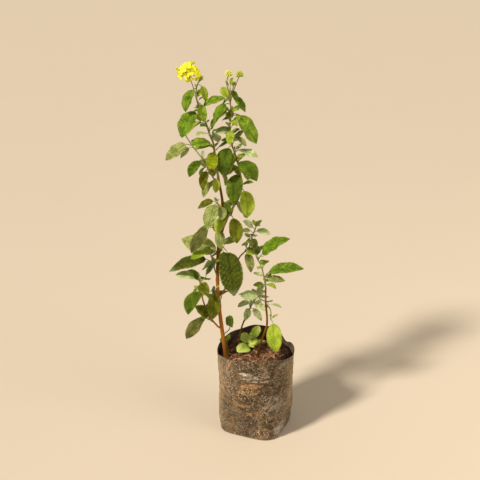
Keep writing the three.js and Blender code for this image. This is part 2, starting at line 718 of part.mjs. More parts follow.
// Whether a leaf is clear of limbs, of other leaves and of the bag and its soil. Small leaves of
// one mass may lie closer together than those of two.
const leafPoints = [];
function isClear(leaf, owner) {
  const points = samplesOf(leaf);
  const close = Math.min(LEAF_CLEARANCE, LEAF_CLEARANCE_SHARE * leaf.length);
  for (const p of points) {
    if (obstacles.some(([q, r]) => near(p, q, r))) return false;
    if (leafPoints.some((q) => near(p, q, q.owner === owner ? close : LEAF_CLEARANCE))) return false;
    const turn = Math.atan2(p[1], p[0]) / DEG;
    const isOut = Math.hypot(p[0], p[1]) > bagRadius(turn, SOIL_LEVEL) - WALL - RIM_CLEARANCE;
    if (isOut && p[2] < mouthHeight(turn) + RIM_CLEARANCE) return false;
    if (p[2] < soilHeight(p[0], p[1]) + SOIL_HEADROOM) return false;
  }
  points.forEach((p) => leafPoints.push(Object.assign(p, { owner })));
  return true;
}

// A leaf that would touch something turns aside, and one that can't is skipped.
function placeLeaf(node, [turn, rise, length], look, owner) {
  for (const sideways of ASIDE)
    for (const raised of RISES) {
      const leaf = poseLeaf(node, turn + sideways, rise + raised, length, look);
      if (isClear(leaf, owner)) return leaf;
    }
  return null;
}

// A leaf as one loft: a petiole that starts inside the stem, then a blade of lens section, its
// edges sharp, that ends in a point. A longer leaf has more stations along its blade.
function leafSolid(leaf) {
  const thick = LEAF_THICKNESS * leaf.length;
  const along = aim(leaf.turn, leaf.lift);
  const over = unit(take(leaf.side, grow(along, dot(leaf.side, along))));
  const ring = (centre, r) => {
    const up = grow(cross(over, along), r);
    return [take(centre, grow(over, r)), add(centre, up), add(centre, grow(over, r)), take(centre, up)];
  };
  const shares = BLADE_SHARES[BLADE_LEAST.findIndex((least) => leaf.length >= least)];
  const blade = shares.map((share) => {
    const rib = leaf.across(share, 0);
    return [leaf.across(share, -1).point, add(rib.point, grow(rib.up, thick / 2)),
      leaf.across(share, 1).point, take(rib.point, grow(rib.up, thick / 2))];
  });
  const rings = [ring(leaf.node, PETIOLE_RADIUS), ring(leaf.at(0), PETIOLE_RADIUS), ...blade];
  return solidOf(rings, { tip: leaf.at(1) });
}

// The flower head: trumpet florets spread evenly over a dome that leans towards the front, each a
// thin tube from the core that opens to a round rim.
function domePoint(i, count, cap) {
  const down = Math.acos(1 - cap * ((i + 0.5) / count));
  return aim(i * GOLDEN_TURN, 90 - down / DEG);
}
function flowerHead(centre, random) {
  let head = manifoldOf(new THREE.IcosahedronGeometry(HEAD_CORE, 1).translate(...centre));
  for (let i = 0; i < FLORETS; i++) {
    const out = unit(add(domePoint(i, FLORETS, HEAD_CAP), grow(SUN, HEAD_LEAN)));
    const reach = FLORET_REACH * drawn(random, FLORET_REACHES);
    const across = unit(cross(out, [0.3, 0.2, 1]));
    const over = cross(out, across);
    const ring = (lift, r) => Array.from({ length: RIM_SIDES }, (_, s) => {
      const a = (2 * Math.PI * s) / RIM_SIDES;
      const spoke = add(grow(across, r * Math.cos(a)), grow(over, r * Math.sin(a)));
      return add(add(centre, grow(out, lift)), spoke);
    });
    const [foot, neck] = FLORET_TUBE;
    const tube = [ring(HEAD_CORE * 0.75, foot), ring(reach - FLORET_DEPTH, neck)];
    const throat = add(centre, grow(out, reach - FLORET_DEPTH / 4));
    head = head.add(solidOf([...tube, ring(reach, FLORET_RADIUS)], { tip: throat }));
  }
  return head;
}

// A tight cluster of unopened buds, as one ball.
const budCluster = ([x, y, z, r]) => manifoldOf(new THREE.IcosahedronGeometry(r, 1).translate(x, y, z));

// One foliage mass: its stem, its leaves, and any flower stalks with their flower and buds.
function foliage(name, index) {
  const mass = MASSES[name];
  const random = seeded(FIRST_SEED + SEED_STEP * index);
  const pieces = [stemSolid(mass, TWIG_SPACING, TWIG_SIDES)];
  for (const [share, ...leaves] of mass.leaves)
    for (const row of leaves) {
      const leaf = placeLeaf(pointAlong(mass.curve, share), row, drawLook(random, mass.roundness), name);
      if (leaf) pieces.push(leafSolid(leaf));
    }
  for (const stalk of mass.stalks ?? []) {
    const curve = curveThrough(stalk);
    const points = STALK_RADII.map((_, i) => pointAlong(curve, i / (STALK_RADII.length - 1)));
    pieces.push(tube(points, STALK_RADII, TWIG_SIDES));
  }
  if (mass.flower) pieces.push(flowerHead(mass.flower, random));
  for (const cluster of mass.buds ?? []) pieces.push(budCluster(cluster));
  return meetParents(wasm.Manifold.union(pieces), mass);
}

// A named mesh with its own finish, made from a solid.
function piece(name, solid, colour, roughness) {
  const mesh = solid.getMesh();
  const geometry = new THREE.BufferGeometry();
  geometry.setAttribute("position", new THREE.BufferAttribute(new Float32Array(mesh.vertProperties), 3));
  geometry.setIndex(new THREE.BufferAttribute(new Uint32Array(mesh.triVerts), 1));
  geometry.computeVertexNormals();
  const material = new THREE.MeshStandardMaterial({ color: colour, roughness, metalness: 0 });
  const made = new THREE.Mesh(geometry, material);
  made.name = name;
  return made;
}

const plant = new THREE.Group();
plant.add(piece("grow_bag", growBag(), COLOURS.bag, 0.55));
plant.add(piece("potting_soil", pottingSoil(), COLOURS.soil, 0.95));
for (const [name, limb] of Object.entries(LIMBS))
  plant.add(piece(name, meetParents(stemSolid(limb, LIMB_SPACING, limb.sides), limb), COLOURS.bark, 0.75));
Object.keys(MASSES).forEach((name, index) =>
  plant.add(piece(name, foliage(name, index), COLOURS.leaf, 0.6)));

export default plant;
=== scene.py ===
# A young flowering lantana shrub in a soil-filled film grow bag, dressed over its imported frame.
# Sizes are in millimetres up to the moment a mesh is made. +Z is up and -Y is the front.
import math
import random

import bmesh
import bpy
import numpy as np
from bpy.props import FloatProperty, FloatVectorProperty, IntProperty, PointerProperty
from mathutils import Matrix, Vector, noise


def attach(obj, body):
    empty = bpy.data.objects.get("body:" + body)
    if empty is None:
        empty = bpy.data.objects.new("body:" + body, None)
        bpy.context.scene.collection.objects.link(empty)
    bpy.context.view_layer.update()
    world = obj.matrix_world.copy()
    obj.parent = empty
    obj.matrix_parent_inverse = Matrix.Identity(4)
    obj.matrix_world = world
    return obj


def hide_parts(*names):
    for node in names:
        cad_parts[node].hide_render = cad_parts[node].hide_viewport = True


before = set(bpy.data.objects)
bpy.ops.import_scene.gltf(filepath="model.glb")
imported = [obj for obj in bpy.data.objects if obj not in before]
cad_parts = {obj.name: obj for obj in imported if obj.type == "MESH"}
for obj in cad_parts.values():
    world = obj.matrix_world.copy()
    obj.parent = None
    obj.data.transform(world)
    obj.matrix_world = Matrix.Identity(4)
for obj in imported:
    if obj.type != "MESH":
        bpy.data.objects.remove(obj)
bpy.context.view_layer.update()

bl_info = {
    "name": "Lantana in a grow bag",
    "version": (1, 0, 0),
    "blender": (4, 5, 0),
    "location": "3D View > Sidebar > Lantana",
    "description": "Grows a potted lantana with toothed leaves, a flower head and a crinkled film bag",
    "category": "Object",
}

MM = 0.001
DEG = math.pi / 180

# Grow bag, as in the part's source.
FOOT_HALF_WIDTH = 45
FOOT_HALF_DEPTH = 43.5
FOOT_TURN = 24
FOOT_SQUARENESS = 4
FOOT_ROUNDING = 5
FOOT_TUCK = 2.4
MOUTH_RADIUS = 55
MOUTH_HEIGHT = 122.3
MOUTH_SADDLE = 5.2
MOUTH_TILT = 2.5
MOUTH_SHAPE_FROM = 0.75
BELLY = 1.6
WALL = 1.2
RIPPLES = ((5, 0.8, 1), (9, 0.6, 0))
NOTCHES = ((36, 9, -5), (60, 12, 3))
CREASES = (
    (250, 12, 62, 26, 1.5), (205, 16, 84, 14, -1.6), (300, 20, 74, 9, -1.8), (325, 12, 30, 24, -1.6),
    (232, 10, 28, 20, -1.5), (150, 14, 60, 30, -1.8), (95, 16, 44, 18, -1.6), (40, 13, 70, 24, -1.8),
    (5, 15, 36, 22, 1.2), (275, 26, 96, 7, 1.2), (180, 11, 100, 14, 1.3), (70, 20, 92, 9, -1.4),
)
CREASE_START = 12

# Potting soil, as in the part's source.
SOIL_LEVEL = 113.5
SOIL_RISE = 3.5
SOIL_FALL = 2.2
SOIL_DIP = 3.4
SOIL_EDGE = 0.8
SOIL_LUMPS = ((1.1, 0.21, 1.3, 0.17, 1.2), (0.7, 0.13, 0.5, 0.31, 0.2))
POCKET_DEPTH = 1.6
SEAT = 0.3

# Stems and leaves, as in the part's source.
FLARE = 0.28
FLARE_REACH = 5
SWELLING = 0.2
SWELLING_REACH = 2.6
CURVE_STEPS = 10
LEAF_WIDTH = 0.6
BASE_POWER = 0.6
TIP_POWER = 0.9
PETIOLE_SHARE = 0.2
PETIOLE_LEAST = 2
PETIOLE_LIFT = 55
PETIOLE_RISES = (-15, 60)
SUN = np.array((-0.2, -0.7, 0.55))
FACING_UP, FACING_SUN, FACING_OUT = 0.8, 1, 0.3
ROLLS, BENDS, FOLDS, WIDTHS = (-16, 16), (22, 52), (6, 20), (0.92, 1.08)
ROUND_WIDTH = 1.3
LEAF_CLEARANCE = 3
LEAF_CLEARANCE_SHARE = 0.1
LIMB_CLEARANCE = 1.3
RIM_CLEARANCE = 2.5
SOIL_HEADROOM = 1.5
ASIDE = (0, 14, -14, 28, -28, 42, -42, 58, -58)
RISES = (0, -12, 12)
SAMPLE_SHARES = (0.12, 0.25, 0.37, 0.5, 0.62, 0.75, 0.87, 0.999)
SAMPLE_SIDES = (-1, -0.5, 0, 0.5, 1)
OBSTACLE_SPACING = 3
STALK_STEPS = 8
FLORETS = 20
FLORET_REACH = 13.8
FLORET_REACHES = (0.84, 1.1)
FLORET_RADIUS = 4.7
HEAD_CORE = 3.2
HEAD_LEAN = 0.4
HEAD_CAP = 1.84
GOLDEN_TURN = 137.5
STALK_RADII = (0.7, 0.6, 0.6)
FIRST_SEED = 1000
SEED_STEP = 77

# Limbs: path, foot and tip radius, and how young and how tan the bark is from foot to tip.
LIMBS = {
    "main_stem": dict(
        path=[(-41, -16, 0), (-43, -16, 122), (-48, -14, 160), (-52, -10, 196), (-53, -8, 220),
              (-52.5, -6, 254), (-51, -4, 283)],
        radius=(2.9, 1.95), planted=True, nodes=(0.66, 0.76, 0.99), youth=(0, 0), tan=(1, 0.1)),
    "left_leader": dict(
        path=[(-50.9, -4, 283.4), (-48, -4, 306), (-45.5, -5, 331), (-50.3, -8, 364)],
        radius=(1.9, 1.6), nodes=(0.03, 0.3, 0.6), youth=(0, 0.25), tan=(0.1, 0)),
    "right_leader": dict(
        path=[(-51.6, -5, 272), (-48.6, -8.6, 284), (-44.5, -9, 300), (-36.5, -1, 317), (-24.5, 8, 336),
              (-22.6, 9.2, 348)],
        radius=(1.6, 1.3), nodes=(0.45, 0.78), youth=(0, 0.2), tan=(0.1, 0)),
    "side_branch": dict(
        path=[(-52, -10, 200), (-41.5, 0, 212), (-25, 12, 247), (-16.5, 15.8, 256.8)],
        radius=(1.2, 0.95), nodes=(0.7,), youth=(0, 0.2), tan=(0.6, 0.3)),
    "low_left_branch": dict(
        path=[(-47.7, -14, 156), (-54, -14.5, 160), (-66, -18, 179), (-72.8, -20, 200)],
        radius=(1.25, 1), nodes=(0.5,), youth=(0, 0.2), tan=(0.8, 0.5)),
    "second_stem": dict(
        path=[(1.5, -10, 0), (6.5, -7, 130), (12, -7, 147), (14.7, -8, 158), (14.8, -8, 170),
              (12.8, -8, 193), (12.6, -8, 213)],
        radius=(1.7, 1.15), planted=True, nodes=(0.4, 0.75), youth=(0, 0.2), tan=(0, 0)),
    "back_stem": dict(
        path=[(-24, 40, 0), (-20, 42, 133), (-15, 43, 146), (-9, 42.5, 160)],
        radius=(1.25, 0.95), planted=True, nodes=(0.6,), youth=(0, 0.35), tan=(0.3, 0.1)),
}

# Foliage masses: a row is one node of the mass's stem: how far along it is, one tone letter for
# each leaf, then each leaf as compass direction, rise and length. Youth is that of the stem.
MASSES = {
    "foliage_crown_left": dict(
        path=[(-50.4, -8, 364.4), (-54.4, -6, 391), (-57, -4, 412), (-61, -2, 422), (-68, 0, 442),
              (-74, 2, 455), (-79, 3, 473), (-77, 4, 487)],
        radius=(1.55, 0.6), youth=(0.3, 0.9),
        leaves=[
            (0.03, "l", (235, -78, 18)), (0.09, "vo", (100, -35, 30), (60, -50, 26)),
            (0.17, "g", (80, -38, 30)), (0.31, "yvv", (262, -64, 27), (220, 5, 34), (140, -15, 30)),
            (0.43, "sss", (235, 5, 28), (75, -30, 28), (26, 14, 25)),
            (0.5, "gv", (245, 15, 22), (350, 50, 22)), (0.58, "l", (150, -40, 30)),
            (0.66, "g", (100, -30, 28)), (0.73, "gvg", (228, -52, 40), (10, 18, 30), (130, -50, 28)),
            (0.82, "v", (315, -74, 24)), (0.86, "gl", (120, -25, 24), (60, 25, 14)),
            (0.96, "g", (235, -60, 31)), (1, "ll", (340, -75, 20), (70, 35, 9)),
        ],
        stalks=[[(-79, 3, 473), (-83.8, 3.5, 488), (-87.8, 4, 499.5)]],
        flower=(-88, 3.5, 501.5)),
    "foliage_crown_right": dict(
        path=[(-22.5, 9.3, 348.4), (-21, 10, 361.4), (-26.4, 6, 388), (-33, 3, 409), (-35.4, 0, 433),
              (-34.3, 0, 447), (-34.8, 0, 463), (-35.3, 0, 480)],
        radius=(1.25, 0.6), youth=(0.25, 0.45),
        leaves=[
            (0.01, "l", (305, -75, 36)), (0.11, "g", (130, -55, 28)),
            (0.18, "dgs", (240, -74, 41), (70, -42, 32), (196, -30, 26)),
            (0.26, "dg", (300, -25, 44), (110, -38, 34)), (0.38, "sv", (338, -28, 28), (268, -74, 25)),
            (0.46, "dsg", (242, -50, 38), (40, 38, 22), (130, -30, 30)),
            (0.54, "lp", (135, 10, 18), (335, -35, 20)), (0.62, "l", (270, -50, 22)),
            (0.69, "ll", (110, -10, 22), (295, -15, 18)),
            (0.76, "vgg", (338, -58, 44), (22, -58, 36), (130, -35, 34)), (0.87, "g", (215, -48, 28)),
            (0.9, "g", (120, -30, 24)), (0.94, "g", (345, -55, 24)), (1, "d", (300, -50, 18)),
        ],
        stalks=[
            [(-35.3, 0, 475), (-39.5, 0, 488), (-36.9, 0, 500.5)],
            [(-34.8, 0, 465), (-30.5, 0, 480), (-23, 0, 499.4)],
            [(-35.3, 0, 473), (-32, -2, 481), (-29.8, -3, 488.6)],
        ],
        buds=[(-36.9, 0, 501, 5), (-23, 0, 500, 5.4), (-29.8, -3, 488.6, 3.6)]),
    "foliage_left_side": dict(
        path=[(-49.5, -8, 356), (-57, -12, 368), (-70, -13, 392), (-82, -12, 408), (-86, -12, 414),
              (-92, -10, 423)],
        radius=(1.2, 0.6), youth=(0.3, 0.9),
        leaves=[
            (0.1, "pg", (170, -74, 24), (110, -40, 24)), (0.36, "og", (248, -66, 26), (118, -45, 24)),
            (0.5, "ds", (232, -38, 29), (90, -40, 24)), (0.77, "s", (190, -48, 18)),
            (0.81, "pl", (195, -36, 34), (60, -20, 18)),
            (0.99, "lll", (230, -5, 10), (80, 0, 10), (160, 40, 7)),
        ]),
    "foliage_fork_left": dict(
        path=[(-45.5, -5, 321), (-48, -11, 327), (-52, -15, 335)],
        radius=(0.95, 0.7), youth=(0.3, 0.8),
        leaves=[
            (0.55, "p", (275, -30, 26)), (0.97, "po", (248, -62, 37), (172, -28, 24)),
        ]),
    "foliage_fork_right": dict(
        path=[(-38, -2.5, 314), (-34.5, -8, 317), (-32, -10, 324), (-30, -11, 332)],
        radius=(0.95, 0.7), youth=(0.3, 0.8),
        leaves=[
            (0.3, "ol", (292, -68, 34), (238, -62, 28)), (0.97, "dg", (215, -70, 22), (55, -20, 14)),
        ]),
    "foliage_fork_back": dict(
        path=[(-37.4, -1.8, 315.4), (-36, 9, 319), (-35, 14, 325)],
        radius=(0.95, 0.7), youth=(0.3, 0.8),
        leaves=[
            (0.5, "p", (150, -30, 30)), (0.97, "gp", (100, -35, 36), (30, -50, 30)),
        ]),
    "foliage_mid_left": dict(
        path=[(-49, -4, 298), (-54, -8.5, 300), (-58.5, -12.5, 301)],
        radius=(0.95, 0.75), youth=(0.3, 0.8),
        leaves=[
            (0.4, "p", (285, -66, 26)), (0.7, "go", (150, -45, 32), (80, -45, 26)),
            (0.97, "m", (215, -50, 40)),
        ]),
    "foliage_trunk_left": dict(
        path=[(-52.8, -8, 228), (-57, -12, 243), (-59, -14, 256), (-62, -14, 264)],
        radius=(1, 0.75), youth=(0.3, 0.8),
        leaves=[
            (0.45, "s", (120, -30, 28)), (0.6, "kg", (188, -17, 54), (20, -40, 24)),
            (0.97, "lp", (222, -8, 29), (130, -5, 22)),
        ]),
    "foliage_trunk_right": dict(
        path=[(-51.6, -5, 268), (-47, -10, 272), (-44, -13, 274)],
        radius=(0.95, 0.8), youth=(0.3, 0.7),
        leaves=[
            (0.55, "dp", (288, -70, 40), (20, 15, 24)), (0.75, "k", (302, -74, 60)),
        ]),
    "foliage_trunk_back": dict(
        path=[(-52.5, -8, 238), (-50, 0, 243), (-49, 7, 250)],
        radius=(0.95, 0.75), youth=(0.3, 0.7),
        leaves=[
            (0.6, "go", (150, -42, 34), (60, -55, 32)),
            (0.97, "ggp", (100, -20, 38), (20, -15, 22), (178, 27, 52)),
        ]),
    "foliage_low_left": dict(
        path=[(-72.9, -20, 200.4), (-75, -22, 216), (-76.3, -22, 227)],
        radius=(0.95, 0.7), youth=(0.3, 0.8),
        leaves=[
            (0.2, "g", (60, -45, 28)), (0.45, "dg", (250, -28, 42), (120, -45, 36)),
            (0.88, "og", (290, -32, 28), (70, -20, 26)), (0.97, "sd", (175, 5, 30), (205, 48, 21)),
        ]),
    "foliage_low_skirt": dict(
        path=[(-58, -15.6, 166), (-61.5, -21, 170), (-64, -23, 175)],
        radius=(0.9, 0.7), youth=(0.3, 0.8),
        leaves=[
            (0.35, "d", (100, -30, 18)), (0.65, "og", (196, 43, 26), (150, -45, 32)),
            (0.97, "m", (205, -45, 37)),
        ]),
    "foliage_trunk_low": dict(
        path=[(-51.5, -10.5, 203), (-55, -15, 209), (-57, -17, 213)],
        radius=(0.9, 0.7), youth=(0.3, 0.7),
        leaves=[
            (0.6, "g", (110, -40, 20)), (0.97, "o", (262, -78, 34)),
        ]),
    "foliage_low_back": dict(
        path=[(-50, -12.5, 179), (-49, -3, 184), (-50, 3, 190)],
        radius=(0.9, 0.7), youth=(0.3, 0.7),
        leaves=[
            (0.6, "gd", (100, -50, 28), (150, -22, 26)), (0.97, "go", (75, -10, 32), (130, 20, 16)),
        ]),
    "foliage_side_branch": dict(
        path=[(-16.3, 15.9, 257.1), (-9.8, 18.1, 263.4), (-5, 20, 280), (-1, 20, 290)],
        radius=(0.9, 0.55), youth=(0.3, 0.8),
        leaves=[
            (0.04, "p", (290, -58, 28)), (0.32, "g", (100, -30, 26)),
            (0.55, "ps", (282, -30, 22), (80, -22, 22)), (0.77, "ss", (355, -12, 20), (180, -5, 17)),
            (0.92, "spl", (200, 35, 18), (60, 20, 16), (300, 25, 13)), (1, "ll", (120, 60, 9), (0, 60, 9)),
        ]),
    "foliage_second_top": dict(
        path=[(12.6, -8, 213.4), (10.6, -6, 226.5), (6.6, -4, 242), (0, -2, 255.5), (-1.2, -2, 261)],
        radius=(1.1, 0.55), youth=(0.5, 1),
        leaves=[
            (0.05, "vls", (185, -8, 14), (310, -8, 18), (80, -15, 24)), (0.17, "p", (340, -14, 25)),
            (0.25, "gs", (350, 9, 49), (165, 12, 14)), (0.5, "ll", (80, -5, 26), (250, 10, 16)),
            (0.8, "gg", (345, 32, 46), (96, 5, 26)),
            (0.93, "lll", (228, 10, 18), (20, 12, 20), (150, 20, 14)), (1, "l", (100, 50, 9)),
        ]),
    "foliage_second_left": dict(
        path=[(12.8, -8, 193), (8, -12, 197), (4, -14, 200)],
        radius=(0.8, 0.65), youth=(0.4, 0.8),
        leaves=[
            (0.6, "s", (235, -35, 14)), (0.97, "ss", (215, 5, 29), (130, -10, 20)),
        ]),
    "foliage_second_right": dict(
        path=[(14, -8, 187), (18.5, -10, 184), (20, -13, 177), (19.5, -15, 170)],
        radius=(0.85, 0.7), youth=(0.4, 0.8),
        leaves=[
            (0.06, "ss", (345, -14, 17), (75, -20, 20)), (1, "l", (290, -72, 40)),
        ]),
    "foliage_back_stem": dict(
        path=[(-8.8, 42.4, 160.4), (-6, 42, 167), (-2, 41, 174), (2, 40, 181)],
        radius=(0.9, 0.55), youth=(0.4, 0.9),
        leaves=[
            (0.1, "sss", (250, -40, 20), (320, -45, 22), (100, -20, 24)),
            (0.45, "sss", (205, -15, 20), (330, -30, 20), (60, -10, 22)),
            (0.8, "ss", (185, 8, 22), (20, -10, 18)),
            (1, "ssp", (240, -5, 18), (60, 30, 18), (330, 30, 14)),
        ]),
    "foliage_round_leaf": dict(
        path=[(-46.2, -15, 147), (-41, -19, 152.5), (-36.5, -20.5, 158)],
        radius=(0.8, 0.7), youth=(0.4, 0.8), roundness=1.5,
        leaves=[(0.97, "dg", (290, 76, 19), (100, 20, 12))]),
    "foliage_seedlings": dict(
        path=[(-9, 6, 0), (-8, 7, 120), (-5, 8, 125)],
        radius=(0.9, 0.7), planted=True, youth=(0.9, 1), roundness=1.2,
        leaves=[
            (0.3, "bb", (232, -2, 24), (15, 12, 20)),
            (0.62, "bbb", (130, 22, 18), (282, 2, 16), (186, 10, 14)),
            (1, "bb", (55, 46, 20), (248, -12, 17)),
        ]),
    "foliage_foot_sprout": dict(
        path=[(-41, 13, 0), (-40.5, 13, 121)],
        radius=(0.7, 0.6), planted=True, youth=(0.9, 1), roundness=1.3,
        leaves=[(0.95, "ll", (205, 25, 11), (70, 42, 10))]),
}

# Leaf tones by letter: piece, two upper colours, underside colour and upper roughness.
# Tones were dealt out leaf by leaf after how light each leaf looks, so they also paint light and shade on
# leaves.
TONES = {
    "d": ("leaves_dark", (0.01, 0.026, 0.001), (0.09, 0.165, 0.006), (0.15, 0.23, 0.04), 0.38),
    "k": ("leaves_shaded", (0.01, 0.017, 0.001), (0.054, 0.074, 0.003), (0.12, 0.16, 0.03), 0.44),
    "g": ("leaves_green", (0.02, 0.06, 0.002), (0.19, 0.33, 0.014), (0.22, 0.34, 0.07), 0.38),
    "v": ("leaves_vivid", (0.04, 0.1, 0.003), (0.3, 0.46, 0.035), (0.28, 0.4, 0.08), 0.38),
    "o": ("leaves_olive", (0.026, 0.033, 0.001), (0.18, 0.21, 0.012), (0.26, 0.31, 0.07), 0.44),
    "l": ("leaves_lime", (0.14, 0.23, 0.007), (0.43, 0.55, 0.055), (0.42, 0.54, 0.12), 0.42),
    # Fresh: a pale young green, made lighter still as painted sunlight on the seedlings.
    "b": ("leaves_fresh", (0.4, 0.64, 0.045), (0.9, 0.99, 0.26), (0.84, 0.96, 0.28), 0.42),
    "y": ("leaves_yellowing", (0.12, 0.19, 0.002), (0.38, 0.43, 0.008), (0.44, 0.46, 0.1), 0.42),
    "p": ("leaves_pale", (0.1, 0.135, 0.028), (0.38, 0.44, 0.15), (0.4, 0.46, 0.17), 0.48),
    # Sage: a pale green, made lighter still as painted light on backlit and shaded leaves.
    "s": ("leaves_sage", (0.3, 0.44, 0.15), (0.74, 0.86, 0.42), (0.7, 0.82, 0.4), 0.48),
    "m": ("leaves_weathered", (0.022, 0.028, 0.004), (0.14, 0.14, 0.045), (0.22, 0.22, 0.08), 0.5),
}

# How far each tone's blades curl down at their margins, in radians.
CURLS = {"k": (1.0, 1.1), "m": (0.8, 1.1), "d": (0.25, 0.9), "s": (0.2, 1.1)}
COMMON_CURLS = (0.15, 0.75)


# Vectors and draws

def aim(turn, rise):
    a, b = turn * DEG, rise * DEG
    return np.array((math.cos(a) * math.cos(b), math.sin(a) * math.cos(b), math.sin(b)))


def unit(v):
    return v / np.linalg.norm(v)


def smooth(low, high, v):
    k = np.clip((v - low) / (high - low), 0, 1)
    return k * k * (3 - 2 * k)


def bump(offset, spread):
    return np.exp(-((offset / spread) ** 2))


def turn_between(a, b):
    return np.mod(np.mod(a - b, 360) + 540, 360) - 180


def seeded(start):
    """A repeatable stream of numbers from 0 to 1."""
    state = start

    def draw():
        nonlocal state
        state = (state * 16807) % 2147483647
        return state / 2147483647
    return draw


def drawn(draw, span):
    return span[0] + (span[1] - span[0]) * draw()


def turns_round(sides):
    return np.arange(sides) * 2 * math.pi / sides


# The bag's and the soil's surfaces

def bag_radius(turn, height):
    k = smooth(0, MOUTH_SHAPE_FROM * MOUTH_HEIGHT, height)
    power = FOOT_SQUARENESS + (2 - FOOT_SQUARENESS) * k
    local = (turn + FOOT_TURN * (1 - k)) * DEG
    wide = FOOT_HALF_WIDTH + (MOUTH_RADIUS - FOOT_HALF_WIDTH) * k
    deep = FOOT_HALF_DEPTH + (MOUTH_RADIUS - FOOT_HALF_DEPTH) * k
    inverse = np.abs(np.cos(local) / wide) ** power + np.abs(np.sin(local) / deep) ** power
    tuck = FOOT_TUCK * (1 - np.minimum(1, height / FOOT_ROUNDING)) ** 2
    belly = BELLY * np.sin(2 * math.pi * height / MOUTH_HEIGHT)
    dents = sum(depth * bump(turn_between(turn, at), spread) * bump(height - level, tall)
                for at, spread, level, tall, depth in CREASES)
    return inverse ** (-1 / power) - tuck + belly + dents * smooth(0, CREASE_START, height)


def mouth_height(turn):
    a = turn * DEG
    ripple = sum(tall * np.sin(waves * a + start) for waves, tall, start in RIPPLES)
    notch = sum(tall * bump(turn_between(turn, at), spread) for at, spread, tall in NOTCHES)
    return MOUTH_HEIGHT - MOUTH_SADDLE * np.cos(2 * a) + MOUTH_TILT * np.sin(a) + ripple + notch


def soil_height(x, y):
    turn = np.arctan2(y, x) / DEG
    share = np.hypot(x, y) / bag_radius(turn, SOIL_LEVEL)
    slope = (SOIL_RISE * y - SOIL_FALL * np.maximum(0, x)) / MOUTH_RADIUS
    lumps = sum(tall * np.sin(a * x + b) * np.sin(c * y + d) for tall, a, b, c, d in SOIL_LUMPS)
    edge = smooth(SOIL_EDGE, 1, share)
    return SOIL_LEVEL + slope + lumps * (1 - edge) - SOIL_DIP * edge


# Stems

class Curve:
    """A smooth curve through a path."""

    def __init__(self, path):
        path = [np.array(p, float) for p in path]
        before, after = 2 * path[0] - path[1], 2 * path[-1] - path[-2]
        padded = [before, *path, after]
        points = [path[0]]
        for p, a, b, n in zip(padded, padded[1:], padded[2:], padded[3:]):
            for step in range(1, CURVE_STEPS + 1):
                t = step / CURVE_STEPS
                points.append(0.5 * (2 * a + (b - p) * t + (2 * p - 5 * a + 4 * b - n) * t * t
                                     + (3 * a - p - 3 * b + n) * t ** 3))
        self.points = np.array(points)
        gaps = np.linalg.norm(np.diff(self.points, axis=0), axis=1)
        self.reach = np.concatenate(([0], np.cumsum(gaps)))
        self.length = self.reach[-1]

    def at(self, share):
        goal = np.asarray(share) * self.length
        return np.stack([np.interp(goal, self.reach, self.points[:, k]) for k in range(3)], -1)


STEMS = {**LIMBS, **MASSES}
for stem in STEMS.values():
    if stem.get("planted"):
        x, y, _ = stem["path"][0]
        stem["path"][0] = (x, y, float(soil_height(x, y)) - POCKET_DEPTH + SEAT)
    stem["curve"] = Curve(stem["path"])


def radius_along(stem, share):
    share = np.asarray(share, float)
    taper = stem["radius"][0] + (stem["radius"][1] - stem["radius"][0]) * share
    long = stem["curve"].length
    flare = FLARE * stem["radius"][0] * np.exp(-share * long / FLARE_REACH) if stem.get("planted") else 0
    swelling = sum(bump((share - at) * long, SWELLING_REACH) for at in stem.get("nodes", ()))
    return taper + flare + SWELLING * taper * swelling


# Leaves

class Leaf:
    """Where a leaf's petiole and blade lie, from its node, direction, rise and length."""

    def __init__(self, node, turn, rise, length, look):
        self.node, self.turn, self.length, self.look = node, turn, length, look
        self.lift = min(max(rise + PETIOLE_LIFT, PETIOLE_RISES[0]), PETIOLE_RISES[1])
        self.base = node + aim(turn, self.lift) * (PETIOLE_SHARE * length + PETIOLE_LEAST)
        self.chord = aim(turn, rise)
        facing = np.array((0, 0, FACING_UP)) + SUN * FACING_SUN + aim(turn, 0) * FACING_OUT
        level = unit(facing - self.chord * facing.dot(self.chord))
        roll = look["roll"] * DEG
        self.normal = level * math.cos(roll) + np.cross(self.chord, level) * math.sin(roll)
        self.side = np.cross(self.chord, self.normal)

    def outline(self, share):
        a, b = BASE_POWER / self.look["roundness"], TIP_POWER / self.look["roundness"]
        widest = a / (a + b)
        return share ** a * (1 - share) ** b / (widest ** a * (1 - widest) ** b)

    def at(self, share):
        share = np.asarray(share, float)[..., None]
        bend = self.look["bend"] * DEG
        a = bend * (1 - share) / 2
        arc = self.chord * (np.cos(a) - (bend * share) ** 2 / 24) + self.normal * np.sin(a)
        return self.base + arc * self.length * share

    def up(self, share):
        tilt = self.look["bend"] * DEG * (np.asarray(share, float)[..., None] - 0.5)
        return self.normal * np.cos(tilt) + self.chord * np.sin(tilt)

    def half(self, share):
        return self.look["width"] * self.length * self.outline(np.asarray(share, float)) / 2

    def across(self, share, v):
        share, v = np.broadcast_arrays(np.asarray(share, float), np.asarray(v, float))
        fold = self.look["fold"] * DEG
        reach = (self.side * v[..., None] * math.cos(fold)
                 + self.up(share) * np.abs(v)[..., None] * math.sin(fold))
        return self.at(share) + reach * self.half(share)[..., None]


def draw_look(draw, roundness=1):
    roll, bend, fold = drawn(draw, ROLLS), drawn(draw, BENDS), drawn(draw, FOLDS)
    width = LEAF_WIDTH * drawn(draw, WIDTHS) * (ROUND_WIDTH if roundness > 1 else 1)
    return dict(roll=roll, bend=bend, fold=fold, width=width, roundness=roundness)


